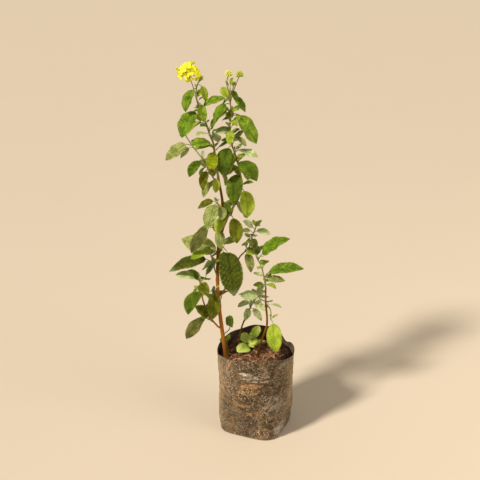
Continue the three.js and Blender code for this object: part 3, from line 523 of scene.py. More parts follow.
class Space:
    """What leaves keep clear of: stems, stalks, buds, the flower head, the bag, the soil, other leaves."""

    def __init__(self):
        spots = []
        for stem in STEMS.values():
            steps = math.ceil(stem["curve"].length / OBSTACLE_SPACING)
            shares = np.arange(steps + 1) / steps
            radii = radius_along(stem, shares) + LIMB_CLEARANCE
            spots += [(*p, r) for p, r in zip(stem["curve"].at(shares), radii)]
            for stalk in stem.get("stalks", ()):
                shares = np.arange(2, STALK_STEPS + 1) / STALK_STEPS
                spots += [(*p, STALK_RADII[1] + LIMB_CLEARANCE) for p in Curve(stalk).at(shares)]
            spots += [(x, y, z, r + LIMB_CLEARANCE) for x, y, z, r in stem.get("buds", ())]
            if "flower" in stem:
                spots.append((*stem["flower"], FLORET_REACH + LIMB_CLEARANCE))
        self.spots = np.array(spots)
        self.leaves = np.zeros((0, 3))
        self.owners = np.zeros(0, "<U24")

    def is_clear(self, leaf, owner):
        points = leaf.across(np.array(SAMPLE_SHARES)[:, None], np.array(SAMPLE_SIDES)[None]).reshape(-1, 3)
        middle = points.mean(0)
        far = np.abs(points - middle).max()
        spots = self.spots[(np.abs(self.spots[:, :3] - middle) < far + self.spots[:, 3:]).all(1)]
        if (np.linalg.norm(points[:, None] - spots[None, :, :3], axis=2) < spots[:, 3]).any():
            return False
        close = min(LEAF_CLEARANCE, LEAF_CLEARANCE_SHARE * leaf.length)
        near = (np.abs(self.leaves - middle) < far + LEAF_CLEARANCE).all(1)
        least = np.where(self.owners[near] == owner, close, LEAF_CLEARANCE)
        if (np.linalg.norm(points[:, None] - self.leaves[near][None], axis=2) < least).any():
            return False
        x, y, z = points.T
        turn = np.arctan2(y, x) / DEG
        out = np.hypot(x, y) > bag_radius(turn, SOIL_LEVEL) - WALL - RIM_CLEARANCE
        in_rim = out & (z < mouth_height(turn) + RIM_CLEARANCE)
        if in_rim.any() or (z < soil_height(x, y) + SOIL_HEADROOM).any():
            return False
        self.leaves = np.vstack((self.leaves, points))
        self.owners = np.concatenate((self.owners, [owner] * len(points)))
        return True

    def place(self, node, row, look, owner):
        turn, rise, length = row
        for sideways in ASIDE:
            for raised in RISES:
                leaf = Leaf(node, turn + sideways, rise + raised, length, look)
                if self.is_clear(leaf, owner):
                    return leaf
        return None


# Flower head: the florets' directions and reaches follow the part's source.

def dome_point(i, count, cap):
    down = math.acos(1 - cap * ((i + 0.5) / count))
    return aim(i * GOLDEN_TURN, 90 - down / DEG)


# Small leaves in the axils of larger ones, and more of them where a mass is dense.
AXIL_SEED = 4242
AXIL_COUNT, AXIL_LEAST = 2, 20
AXIL_SHARE = 0.75
AXIL_TURNS, AXIL_RISES, AXIL_SHIFTS = (-60, 60), (10, 62), (-1.5, 2)
AXIL_LENGTHS = (4.5, 11)
LONGER_AXILS = {"foliage_crown_right": (8, 19)}
AXIL_COUNTS = {"foliage_seedlings": 9, "foliage_back_stem": 2, "foliage_foot_sprout": 2,
               "foliage_crown_left": 2, "foliage_crown_right": 3}
PALE_TONES, AXIL_TONE = "spb", "l"


def grow_leaves():
    """Every leaf with its tone and its mass, by the source's rule, then the small leaves in the axils."""
    space = Space()
    leaves = []
    for index, (name, mass) in enumerate(MASSES.items()):
        draw = seeded(FIRST_SEED + SEED_STEP * index)
        for share, tones, *rows in mass["leaves"]:
            for tone, row in zip(tones, rows):
                look = draw_look(draw, mass.get("roundness", 1))
                leaf = space.place(mass["curve"].at(share), row, look, name)
                if leaf:
                    leaf.tone, leaf.owner = tone, name
                    leaves.append(leaf)
    draw = seeded(AXIL_SEED)
    for parent in leaves[:]:
        name = parent.owner
        for _ in range(AXIL_COUNTS.get(name, AXIL_COUNT if parent.length > AXIL_LEAST else 0)):
            lengths = LONGER_AXILS.get(name, AXIL_LENGTHS)
            row = (parent.turn + drawn(draw, AXIL_TURNS), drawn(draw, AXIL_RISES), drawn(draw, lengths))
            look = draw_look(draw, MASSES[name].get("roundness", 1))
            node = parent.node + np.array((0, 0, drawn(draw, AXIL_SHIFTS)))
            leaf = space.place(node, row, look, name) if draw() < AXIL_SHARE else None
            if leaf:
                leaf.tone, leaf.owner = parent.tone if parent.tone in PALE_TONES else AXIL_TONE, name
                leaves.append(leaf)
    return leaves


def grow_florets():
    """The centre, direction and reach of each floret, drawn after the leaves of its mass."""
    florets = []
    for index, mass in enumerate(MASSES.values()):
        if "flower" not in mass:
            continue
        draw = seeded(FIRST_SEED + SEED_STEP * index)
        for _ in range(sum(len(rows) for _, _, *rows in mass["leaves"])):
            draw_look(draw)
        for i in range(FLORETS):
            out = unit(dome_point(i, FLORETS, HEAD_CAP) + SUN * HEAD_LEAN)
            florets.append((np.array(mass["flower"]), out, FLORET_REACH * drawn(draw, FLORET_REACHES)))
    return florets


# A blade is carried finer than the source's: its sides stay round up to a short pointed tip.
FULLER_TIP, FULLER_FROM, FULLER_TO = 0.16, 0.35, 0.8


def fullness(share):
    return 1 + FULLER_TIP * smooth(FULLER_FROM, FULLER_TO, share)


# Meshes gathered from lofts

def mark(mesh, name, values, domain="POINT"):
    """Stores a number for each point or face of a mesh."""
    layer = mesh.attributes.new(name, "FLOAT", domain)
    layer.data.foreach_set("value", np.asarray(values, np.float32))


def start_alone():
    """Leaves nothing selected, before a shape is added or finished."""
    bpy.ops.object.select_all(action="DESELECT")


def linked(name, mesh):
    """A piece of the scene with a given mesh."""
    piece = bpy.data.objects.new(name, mesh)
    bpy.context.scene.collection.objects.link(piece)
    return piece


class Pile:
    """Lofts gathered into one mesh, with values at their points and faces."""

    def __init__(self):
        self.points, self.faces, self.uv, self.under, self.count = [], [], [], [], 0
        self.values = {}

    def loft(self, rings, foot=None, tip=None, uv=None, under_from=None, **values):
        rings = np.asarray(rings, float)
        rows, sides = rings.shape[:2]
        foot = rings[0].mean(0) if foot is None else foot
        tip = rings[-1].mean(0) if tip is None else tip
        self.points.append(np.vstack((rings.reshape(-1, 3), foot, tip)))
        first = self.count
        grid = first + np.arange(rows * sides).reshape(rows, sides)
        ahead = np.roll(grid, -1, axis=1)
        quads = np.stack((grid[:-1], ahead[:-1], ahead[1:], grid[1:]), -1).reshape(-1, 4)
        low, high = first + rows * sides, first + rows * sides + 1
        self.faces += quads.tolist()
        self.faces += [(low, b, a) for a, b in zip(grid[0].tolist(), ahead[0].tolist())]
        self.faces += [(high, a, b) for a, b in zip(grid[-1].tolist(), ahead[-1].tolist())]
        below = np.zeros(sides) if under_from is None else (np.arange(sides) >= under_from).astype(float)
        self.under.append(np.tile(below, rows + 1))
        n = rows * sides + 2
        if uv is None:
            self.uv.append(np.zeros((n, 2)))
        else:
            self.uv.append(np.vstack((uv.reshape(-1, 2), (0.5, 0), (0.5, 1))))
        for name, value in values.items():
            value = np.asarray(value, float)
            if value.ndim == 1:
                value = np.repeat(value, sides)
            if value.ndim == 2:
                value = value.reshape(-1)
            if value.ndim and len(value) == rows * sides:
                value = np.concatenate((value, (value[:sides].mean(), value[-sides:].mean())))
            self.values.setdefault(name, []).append(np.broadcast_to(value, (n,)))
        self.count += n

    def make(self, name, material, sharp):
        points = np.vstack(self.points) * MM
        mesh = bpy.data.meshes.new(name)
        mesh.from_pydata(points.tolist(), [], self.faces)
        for label, parts in self.values.items():
            mark(mesh, label, np.concatenate(parts))
        mark(mesh, "under", np.concatenate(self.under), "FACE")
        corner = np.empty(len(mesh.loops), np.int32)
        mesh.loops.foreach_get("vertex_index", corner)
        layer = mesh.uv_layers.new(name="blade")
        layer.data.foreach_set("uv", np.vstack(self.uv)[corner].astype(np.float32).ravel())
        mesh.update()
        piece = linked(name, mesh)
        finish_piece(piece, material, sharp)
        return piece


def finish_piece(piece, material, sharp):
    start_alone()
    piece.select_set(True)
    bpy.context.view_layer.objects.active = piece
    bpy.ops.object.shade_smooth_by_angle(angle=sharp * DEG)
    piece.data.materials.clear()
    piece.data.materials.append(material)
    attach(piece, "root")


def frames(points):
    """Two directions across each point of a line, which turn as little as possible along it."""
    along = np.gradient(points, axis=0)
    along /= np.linalg.norm(along, axis=1)[:, None]
    across = np.empty_like(points)
    start = np.array((1.0, 0, 0)) if abs(along[0][0]) < 0.8 else np.array((0, 1.0, 0))
    for i, direction in enumerate(along):
        start = unit(start - direction * start.dot(direction))
        across[i] = start
    return across, np.cross(along, across)


def tube(points, radii, sides, relief=1.0):
    """Rings round a line of points; relief gives a factor for each ring and direction."""
    points = np.asarray(points, float)
    across, over = frames(points)
    turns = turns_round(sides)
    spokes = across[:, None] * np.cos(turns)[None, :, None] + over[:, None] * np.sin(turns)[None, :, None]
    scale = np.repeat(np.asarray(radii, float)[:, None], sides, 1) * relief
    return points[:, None] + spokes * scale[..., None]


# Shader nets

class Net:
    """Adds nodes to a tree; an input is a number, a colour or another node's socket."""

    def __init__(self, tree):
        self.tree = tree

    def put(self, kind, feeds=None, **settings):
        node = self.tree.nodes.new(kind)
        for key, value in settings.items():
            setattr(node, key, value)
        for key, value in (feeds or {}).items():
            self.feed(node.inputs[key], value)
        return node

    def feed(self, socket, value):
        if isinstance(value, bpy.types.NodeSocket):
            self.tree.links.new(value, socket)
        elif isinstance(value, tuple) and len(value) == 3 and socket.type == "RGBA":
            socket.default_value = (*value, 1)
        else:
            socket.default_value = value

    def math(self, operation, a, b=0.0):
        return self.put("ShaderNodeMath", {0: a, 1: b}, operation=operation).outputs[0]

    def times(self, a, b):
        return self.math("MULTIPLY", a, b)

    def plus(self, a, b):
        return self.math("ADD", a, b)

    def minus(self, a, b):
        return self.math("SUBTRACT", a, b)

    def larger(self, a, b):
        return self.math("MAXIMUM", a, b)

    def vectors(self, operation, a, b=None, output=0):
        feeds = {0: a} if b is None else {0: a, 1: b}
        return self.put("ShaderNodeVectorMath", feeds, operation=operation).outputs[output]

    def mix(self, factor, a, b):
        return self.put("ShaderNodeMix", {0: factor, 6: a, 7: b}, data_type="RGBA").outputs[2]

    def wash(self, colour, mask, amount, paint):
        """A colour with a share of a paint over it where the mask is."""
        return self.mix(self.times(mask, amount), colour, paint)

    def span(self, value, low, high, to_low=0.0, to_high=1.0):
        feeds = {"Value": value, "From Min": low, "From Max": high, "To Min": to_low, "To Max": to_high}
        return self.put("ShaderNodeMapRange", feeds, interpolation_type="SMOOTHSTEP").outputs[0]

    def noise(self, vector, scale, detail=4.0, roughness=0.55, distortion=0.0):
        feeds = {"Vector": vector, "Scale": scale, "Detail": detail, "Roughness": roughness,
                 "Distortion": distortion}
        return self.put("ShaderNodeTexNoise", feeds).outputs[0]

    def cells(self, vector, scale, feature="F1"):
        feeds = {"Vector": vector, "Scale": scale}
        return self.put("ShaderNodeTexVoronoi", feeds, feature=feature).outputs["Distance"]

    def stretch(self, vector, scale, turn=(0.0, 0.0, 0.0)):
        return self.put("ShaderNodeMapping", {"Vector": vector, "Scale": scale, "Rotation": turn}).outputs[0]

    def group(self, tree, feeds):
        return self.put("ShaderNodeGroup", feeds, node_tree=tree).outputs

    def value(self, name):
        return self.put("ShaderNodeAttribute", attribute_name=name).outputs["Fac"]

    @property
    def place(self):
        return self.put("ShaderNodeTexCoord").outputs["Object"]


def effect(name, inputs, outputs, build):
    """A shader node group, made once; an input is a vector, or a number where it has a default."""
    made = bpy.data.node_groups.get(name)
    if made:
        return made
    tree = bpy.data.node_groups.new(name, "ShaderNodeTree")
    for label, value in inputs.items():
        kind = "NodeSocketVector" if value is None else "NodeSocketFloat"
        socket = tree.interface.new_socket(label, in_out="INPUT", socket_type=kind)
        if value is not None:
            socket.default_value = value
    for label in outputs:
        tree.interface.new_socket(label, in_out="OUTPUT", socket_type="NodeSocketFloat")
    net = Net(tree)
    entry, leave = net.put("NodeGroupInput"), net.put("NodeGroupOutput")
    for label, socket in build(net, {label: entry.outputs[label] for label in inputs}).items():
        net.feed(leave.inputs[label], socket)
    return tree


def blotches():
    """Soft-edged patches: a large noise sharpened by a fine one."""
    def build(net, given):
        coarse = net.noise(given["Vector"], given["Scale"], 5.0, 0.6, 0.6)
        fine = net.noise(given["Vector"], net.times(given["Scale"], 6.0), 4.0, 0.6)
        both = net.plus(coarse, net.times(net.minus(fine, 0.5), 0.45))
        low = net.minus(1.0, given["Amount"])
        return {"Mask": net.span(both, net.minus(low, 0.1), net.plus(low, 0.12))}
    return effect("lantana_blotches", {"Vector": None, "Scale": 40.0, "Amount": 0.5}, ("Mask",), build)


def blotched(net, place, scale, amount):
    return net.group(blotches(), {"Vector": place, "Scale": scale, "Amount": amount})["Mask"]


def leaf_veins():
    """A midrib, side veins that sweep to the edge, and a fine net between them."""
    def build(net, given):
        split = net.put("ShaderNodeSeparateXYZ", {0: given["Blade"]})
        off = net.times(net.math("ABSOLUTE", net.minus(split.outputs[0], 0.5)), 2.0)
        sweep = net.times(net.math("POWER", off, 0.85), -0.3)
        phase = net.times(net.plus(split.outputs[1], sweep), given["Pairs"])
        saw = net.math("ABSOLUTE", net.minus(net.math("FRACT", phase), 0.5))
        side = net.span(saw, 0.4, 0.5)
        side = net.times(side, net.span(off, 1.0, 0.55, 0.25, 1.0))
        rib = net.span(off, 0.09, 0.02)
        web = net.span(net.cells(net.stretch(given["Blade"], (26.0, 44.0, 1.0)), 1.0, "DISTANCE_TO_EDGE"),
                       0.1, 0.02)
        vein = net.larger(rib, net.times(side, 0.8))
        return {"Vein": net.larger(vein, net.times(web, 0.3)), "Margin": net.span(off, 0.8, 1.0)}
    return effect("lantana_leaf_veins", {"Blade": None, "Pairs": 9.0}, ("Vein", "Margin"), build)


class Finish(Net):
    """The net of a new material with one principled shader."""

    def __init__(self, name, roughness, specular, settings=None):
        self.material = bpy.data.materials.new(name)
        self.material.use_nodes = True
        super().__init__(self.material.node_tree)
        self.tree.nodes.clear()
        leave = self.put("ShaderNodeOutputMaterial")
        feeds = {"Roughness": roughness, "Specular IOR Level": specular, **(settings or {})}
        self.shader = self.put("ShaderNodeBsdfPrincipled", feeds)
        self.tree.links.new(self.shader.outputs[0], leave.inputs[0])

    def close(self, colour, rough, height, distance, strength=1.0):
        """Feeds the shader its colour, roughness and relief, and gives the material."""
        self.feed(self.shader.inputs["Base Color"], colour)
        self.feed(self.shader.inputs["Roughness"], rough)
        bump_node = self.put("ShaderNodeBump", {"Height": height, "Distance": distance, "Strength": strength})
        self.feed(self.shader.inputs["Normal"], bump_node.outputs[0])
        return self.material


def shade(colour, factor):
    return tuple(factor * part for part in colour)


def capped(colour):
    return tuple(min(1.0, part) for part in colour)


# Gloss of a leaf, and how much light goes through it, in which tint, and how far, in metres.
LEAF_GLOSS_TINT = (0.9, 1, 0.35, 1)
LEAF_GLOSS = 0.24
LEAF_GLOW = 0.35
LEAF_GLOW_TINT = (1, 1, 0.15)
LEAF_GLOW_REACH = 0.0015
YOUNG_GLOW = 0.6
YOUNG_TONES = "bs"
VEIN_PAIRS = 9.0
VEIN_PALENESS, VEIN_PALE_SHIFT = 1.6, (0.05, 0.06, 0.02)
LEAF_RELIEF = 0.0009
# Tones whose tips change: from where to where, as shares of the length, and to which colour.
LEAF_TIPS = {"y": (0.8, 0.9, (0.1, 0.035, 0.012)), "k": (0.78, 0.95, (0.16, 0.22, 0.1))}


def leaf_finish(tone):
    name, low, high, below, roughness = TONES[tone]
    glow = LEAF_GLOW * (YOUNG_GLOW if tone in YOUNG_TONES else 1)
    net = Finish(name.replace("leaves", "leaf"), roughness, LEAF_GLOSS, {
        "Specular Tint": LEAF_GLOSS_TINT, "Subsurface Weight": glow,
        "Subsurface Radius": LEAF_GLOW_TINT, "Subsurface Scale": LEAF_GLOW_REACH})
    blade = net.put("ShaderNodeUVMap", uv_map="blade").outputs[0]
    along = net.put("ShaderNodeSeparateXYZ", {0: blade}).outputs[1]
    veins = net.group(leaf_veins(), {"Blade": blade, "Pairs": VEIN_PAIRS})
    patches = blotched(net, net.place, 105.0, 0.5)
    grain = net.noise(net.place, 900.0, 3.0, 0.6)
    tint = net.plus(net.times(net.value("tint"), 0.25), net.times(patches, 0.75))
    top = net.mix(tint, low, high)
    pale = capped(VEIN_PALENESS * c + k for c, k in zip(high, VEIN_PALE_SHIFT))
    top = net.wash(top, veins["Vein"], 0.7, pale)
    deep = shade(low, 0.55)
    top = net.wash(top, veins["Margin"], 0.35, deep)
    top = net.mix(net.span(grain, 0.35, 0.75, 0.0, 0.22), top, deep)
    if tone in LEAF_TIPS:
        start, end, paint = LEAF_TIPS[tone]
        top = net.mix(net.span(along, start, end), top, paint)
    under = net.wash(below, veins["Vein"], 0.5, capped(shade(below, 1.35)))
    under = net.wash(under, patches, 0.3, shade(below, 0.75))
    rough = net.plus(roughness - 0.06, net.times(grain, 0.2))
    rough = net.plus(rough, net.times(net.value("under"), 0.2))
    height = net.minus(net.times(grain, 0.25), net.times(veins["Vein"], 0.8))
    return net.close(net.mix(net.value("under"), top, under), rough, height, LEAF_RELIEF)


# Bark: pairs of colours from dark to light, single ones for patches, cork and the foot in the soil's shade.
BARK_GLOSS_TINT = (1, 0.75, 0.4, 1)
BROWN_BARK = (0.06, 0.015, 0.001), (0.19, 0.058, 0.003)
TAN_BARK = (0.27, 0.085, 0.004), (0.58, 0.24, 0.028)
GREEN_BARK = (0.11, 0.14, 0.006), (0.22, 0.25, 0.02)
PATCHED_BARK, CORK, BARK_FOOT = (0.28, 0.11, 0.02), (0.44, 0.24, 0.09), (0.035, 0.014, 0.004)
BARK_FOOT_SPAN = 0.158, 0.12
BARK_RELIEF = 0.0004


def bark_finish():
    net = Finish("lantana_bark", 0.7, 0.2, {"Specular Tint": BARK_GLOSS_TINT})
    place = net.place
    fibres = net.noise(net.stretch(place, (1.0, 1.0, 0.16)), 900.0, 5.0, 0.65)
    patches = blotched(net, place, 120.0, 0.48)
    cork = net.cells(net.stretch(place, (1.0, 1.0, 0.5)), 620.0)
    wood = net.mix(net.value("tan"), net.mix(fibres, *BROWN_BARK), net.mix(fibres, *TAN_BARK))
    wood = net.wash(wood, patches, 0.25, PATCHED_BARK)
    wood = net.mix(net.span(cork, 0.16, 0.05, 0.0, 0.5), wood, CORK)
    level = net.put("ShaderNodeSeparateXYZ", {0: place}).outputs[2]
    wood = net.mix(net.span(level, *BARK_FOOT_SPAN, 0.0, 0.75), wood, BARK_FOOT)
    colour = net.mix(net.value("youth"), wood, net.mix(patches, *GREEN_BARK))
    height = net.plus(fibres, net.span(cork, 0.18, 0.04, 0.0, 0.7))
    return net.close(colour, net.span(fibres, 0.3, 0.7, 0.6, 0.82), height, BARK_RELIEF, 0.8)


# Shoots and petioles: pairs of colours from dark to light.
GREEN_SHOOT = (0.1, 0.2, 0.025), (0.24, 0.34, 0.07)
RED_SHOOT = (0.12, 0.045, 0.02), (0.26, 0.12, 0.05)
PATCHED_SHOOT = (0.22, 0.13, 0.05)
SHOOT_RELIEF = 0.00025


def shoot_finish():
    net = Finish("lantana_shoot", 0.55, 0.4)
    place = net.place
    patches = blotched(net, place, 140.0, 0.5)
    ribs = net.noise(net.stretch(place, (1.0, 1.0, 0.2)), 1100.0, 3.0, 0.6)
    colour = net.mix(net.value("youth"), net.mix(ribs, *RED_SHOOT), net.mix(ribs, *GREEN_SHOOT))
    colour = net.wash(colour, patches, 0.28, PATCHED_SHOOT)
    return net.close(colour, net.span(ribs, 0.3, 0.7, 0.48, 0.68), ribs, SHOOT_RELIEF, 0.7)


# Petals: how much light goes through, in which tint and how far in metres; the tube's colour.
PETAL_GLOW = 0.7
PETAL_GLOW_TINT = (1, 1, 0.1)
PETAL_GLOW_REACH = 0.002
TUBE_COLOUR = (0.36, 0.33, 0.05)
PETAL_RELIEF = 0.0002


def petal_finish(look):
    net = Finish("lantana_petal", 0.5, 0.15, {
        "Subsurface Weight": PETAL_GLOW, "Subsurface Radius": PETAL_GLOW_TINT,
        "Subsurface Scale": PETAL_GLOW_REACH})
    grain = net.noise(net.place, 1300.0, 3.0, 0.6)
    centre, rim = tuple(look.throat_colour), tuple(look.petal_colour)
    petal = net.mix(net.span(grain, 0.3, 0.7), rim, capped(shade(rim, 0.86)))
    petal = net.mix(net.span(net.value("rim"), 0.3, 0.06, 0.0, 0.75), petal, centre)
    petal = net.wash(petal, net.value("age"), 0.5, centre)
    colour = net.mix(net.value("tube"), petal, TUBE_COLOUR)
    return net.close(colour, net.span(grain, 0.3, 0.7, 0.42, 0.6), grain, PETAL_RELIEF, 0.5)


# Buds: their green feet and their yellow tips, each from dark to light; their relief is the petals'.
BUD_FOOT = (0.14, 0.2, 0.015), (0.26, 0.34, 0.04)
BUD_TIP = (0.68, 0.72, 0.07), (0.9, 0.9, 0.26)


def bud_finish():
    net = Finish("lantana_bud", 0.5, 0.4)
    grain = net.noise(net.place, 1000.0, 3.0, 0.6)
    base, tip = net.mix(grain, *BUD_FOOT), net.mix(grain, *BUD_TIP)
    colour = net.wash(base, net.value("rim"), net.value("ripe"), tip)
    return net.close(colour, net.span(grain, 0.3, 0.7, 0.42, 0.62), grain, PETAL_RELIEF, 0.6)


def patch_mask():
    """A soft oval patch round a centre, broken up by noise."""
    def build(net, given):
        off = net.vectors("SUBTRACT", given["Vector"], given["Centre"])
        far = net.vectors("LENGTH", net.vectors("DIVIDE", off, given["Size"]), output=1)
        ragged = net.noise(given["Vector"], 150.0, 5.0, 0.65, 0.5)
        edge = net.plus(far, net.times(net.minus(ragged, 0.5), 1.7))
        return {"Mask": net.span(edge, 1.0, 0.35)}
    return effect("lantana_patch", {"Vector": None, "Centre": None, "Size": None}, ("Mask",), build)


# Marks on the film in metres: centre, reach, colour, strength: soil smears, pale scuffs, painted highlights
# and sheen.
FILM_MARKS = (
    ((-0.012, -0.052, 0.086), (0.02, 0.03, 0.0045), (0.44, 0.2, 0.055), 0.6),
    ((-0.014, -0.052, 0.0755), (0.019, 0.03, 0.004), (0.5, 0.27, 0.1), 0.6),
    ((-0.022, -0.048, 0.056), (0.016, 0.03, 0.0045), (0.42, 0.22, 0.08), 0.7),
    ((-0.006, -0.052, 0.042), (0.014, 0.03, 0.004), (0.36, 0.18, 0.06), 0.6),
    ((-0.042, -0.03, 0.088), (0.012, 0.03, 0.02), (0.24, 0.15, 0.09), 0.5),
    # These three whitish streaks paint highlights on the film's folds, high on the front.
    ((-0.015, -0.051, 0.1035), (0.012, 0.02, 0.003), (0.68, 0.62, 0.54), 0.85),
    ((-0.014, -0.051, 0.097), (0.009, 0.02, 0.0018), (0.6, 0.52, 0.42), 0.7),
    ((-0.003, -0.053, 0.094), (0.006, 0.02, 0.0016), (0.6, 0.52, 0.42), 0.7),
    ((0.014, -0.052, 0.0935), (0.014, 0.02, 0.0016), (0.46, 0.37, 0.28), 0.7),
    ((0.012, -0.052, 0.107), (0.005, 0.02, 0.009), (0.4, 0.27, 0.16), 0.5),
    ((0.037, -0.04, 0.112), (0.012, 0.03, 0.006), (0.4, 0.34, 0.28), 0.5),
    # A painted highlight on the folds, high on the front.
    ((0.002, -0.054, 0.1), (0.018, 0.02, 0.0035), (0.42, 0.39, 0.34), 0.6),
    ((0.026, -0.047, 0.056), (0.024, 0.03, 0.016), (0.32, 0.28, 0.23), 0.5),
    ((0.036, -0.04, 0.014), (0.017, 0.03, 0.015), (0.56, 0.53, 0.49), 0.75),
    # Broad patches on the left and right sides: dust, and painted sheen of the light on the bag's sides.
    ((-0.053, -0.02, 0.06), (0.011, 0.035, 0.07), (0.4, 0.27, 0.15), 0.55),
    ((0.051, -0.022, 0.07), (0.016, 0.035, 0.06), (0.46, 0.31, 0.17), 0.7),
    ((0.03, 0.045, 0.07), (0.03, 0.03, 0.02), (0.3, 0.18, 0.09), 0.6),
    ((-0.03, 0.044, 0.04), (0.03, 0.03, 0.016), (0.3, 0.26, 0.21), 0.5),
)


def crinkled_film():
    """Old crinkled film: clouded areas, thin broken crease lines, pale specks, and the height of it all."""
    def build(net, given):
        place = given["Vector"]
        sway = net.put("ShaderNodeTexNoise", {"Vector": place, "Scale": 60.0, "Detail": 4.0}).outputs["Color"]
        sway = net.put("ShaderNodeVectorMath", {0: sway, "Scale": 0.011}, operation="SCALE").outputs[0]
        warped = net.stretch(net.vectors("ADD", place, sway), (0.7, 0.7, 1.5), (0.2, 0.3, 0.0))
        coarse = net.noise(place, 50.0, 7.0, 0.68, 0.8)
        fine = net.noise(place, 230.0, 6.0, 0.74, 0.7)
        large = net.span(net.cells(warped, 85.0, "DISTANCE_TO_EDGE"), 0.05, 0.0)
        small = net.span(net.cells(warped, 210.0, "DISTANCE_TO_EDGE"), 0.09, 0.0)
        large = net.times(large, net.span(net.noise(place, 120.0, 4.0, 0.6), 0.42, 0.58))
        small = net.times(small, net.span(net.noise(place, 95.0, 4.0, 0.6), 0.48, 0.62))
        crease = net.larger(large, net.times(small, 0.75))
        dots = net.span(net.cells(place, 430.0), 0.34, 0.16)
        dots = net.times(dots, net.span(net.noise(place, 70.0, 3.0, 0.6), 0.44, 0.56))
        height = net.plus(net.times(coarse, 1.6), net.times(fine, 0.9))
        height = net.plus(height, net.times(crease, 0.35))
        bands = net.noise(net.stretch(place, (0.5, 0.5, 2.0)), 110.0, 4.0, 0.65, 0.6)
        return {"Cloud": net.span(coarse, 0.45, 0.57), "Grain": fine, "Crease": crease, "Speck": dots,
                "Band": net.span(bands, 0.44, 0.58), "Height": height}
    return effect("lantana_crinkled_film", {"Vector": None},
                  ("Cloud", "Grain", "Crease", "Speck", "Band", "Height"), build)


# Film: its sheen, the colours of its bands, creases, specks and inside, and of the highlight painted on its
# folds' lips.
FILM_SHEEN = 0.3
FILM_SHEEN_TINT = (1, 0.78, 0.52, 1)
BAND_COLOUR, CREASE_COLOUR = (0.34, 0.23, 0.13), (0.5, 0.36, 0.23)
LIP_HIGHLIGHT_COLOUR, SPECK_COLOUR = (0.52, 0.42, 0.32), (0.64, 0.52, 0.4)
INSIDE_COLOURS = (0.006, 0.004, 0.003), (0.035, 0.022, 0.015)
FILM_RELIEF = 0.002


def film_finish(look):
    net = Finish("grow_bag_film", 0.5, 0.3, {
        "Sheen Weight": FILM_SHEEN, "Sheen Tint": FILM_SHEEN_TINT, "Specular Tint": FILM_SHEEN_TINT})
    place = net.place
    film = net.group(crinkled_film(), {"Vector": place})
    dust = blotched(net, place, 75.0, look.dust_amount)
    dark, dusty = tuple(look.film_colour), tuple(look.dust_colour)
    colour = net.mix(film["Cloud"], dark, shade(dusty, 0.62))
    colour = net.wash(colour, dust, 0.7, dusty)
    colour = net.wash(colour, film["Band"], 0.2, BAND_COLOUR)
    colour = net.mix(net.span(film["Grain"], 0.56, 0.44, 0.0, 0.92), colour, dark)
    for centre, size, paint, amount in FILM_MARKS:
        mask = net.group(patch_mask(), {"Vector": place, "Centre": centre, "Size": size})["Mask"]
        broken = net.times(mask, net.span(film["Grain"], 0.4, 0.56, 0.1, 1.0))
        colour = net.wash(colour, broken, amount, paint)
    colour = net.wash(colour, film["Crease"], 0.48, CREASE_COLOUR)
    # Painted highlight on the raised lips of the folds, and painted shade in their hollows.
    lip = net.times(net.value("crest_highlight"), net.span(film["Grain"], 0.44, 0.56, 0.0, 0.6))
    colour = net.mix(lip, colour, LIP_HIGHLIGHT_COLOUR)
    colour = net.wash(colour, net.value("groove_shade"), 0.15, dark)
    colour = net.wash(colour, film["Speck"], 0.8, SPECK_COLOUR)
    colour = net.mix(net.value("inside"), colour, net.mix(film["Grain"], *INSIDE_COLOURS))
    rough = net.plus(net.times(dust, 0.22), net.span(film["Grain"], 0.3, 0.7, 0.4, 0.6))
    return net.close(colour, rough, film["Height"], FILM_RELIEF)


# How far the shade at the bag's wall is moved to the right, and where it starts and is full, in metres.
SHADE_SHIFT = (0.006, 0.0, 0.0)
SHADE_SPAN = 0.033, 0.044


def shaded_edge():
    """How near a place lies to the bag's wall, ragged, more so on the right."""
    def build(net, given):
        place = given["Vector"]
        flat = net.vectors("MULTIPLY", net.vectors("ADD", place, SHADE_SHIFT), (1.0, 1.0, 0.0))
        out = net.vectors("LENGTH", flat, output=1)
        uneven = net.times(net.minus(net.noise(place, 160.0, 4.0, 0.6), 0.5), 0.03)
        return {"Mask": net.span(net.plus(out, uneven), *SHADE_SPAN)}
    return effect("lantana_shaded_edge", {"Vector": None}, ("Mask",), build)


# Relief of soil and of fibres in metres, and the colours of stained and of shaded fibres.
SOIL_RELIEF = 0.003
FIBRE_RELIEF = 0.0001
STAINED_FIBRE, SHADED_FIBRE = (0.09, 0.04, 0.025), (0.012, 0.005, 0.003)


def soil_finish(name, look, lightness=1.0):
    net = Finish(name, 0.92, 0.1)
    place = net.place
    soil, fibre = tuple(look.soil_colour), tuple(look.fibre_colour)
    grains = net.cells(place, 420.0)
    mottle = net.noise(place, 150.0, 5.0, 0.7)
    fine = net.noise(place, 1400.0, 5.0, 0.7)
    colour = net.mix(net.span(mottle, 0.42, 0.6), shade(soil, 0.14 * lightness), shade(soil, lightness))
    colour = net.mix(net.span(mottle, 0.58, 0.72, 0.0, 0.6), colour, fibre)
    colour = net.mix(net.span(fine, 0.52, 0.7, 0.0, 0.7), colour, fibre)
    colour = net.mix(net.span(grains, 0.5, 0.1, 0.0, 0.6), colour, shade(soil, 0.12))
    colour = net.wash(colour, net.value("tint"), 0.35, fibre)
    edge = net.group(shaded_edge(), {"Vector": place})["Mask"]
    colour = net.wash(colour, edge, 0.9, shade(soil, 0.1))
    return net.close(colour, net.span(fine, 0.3, 0.7, 0.82, 0.98), net.plus(mottle, fine), SOIL_RELIEF)


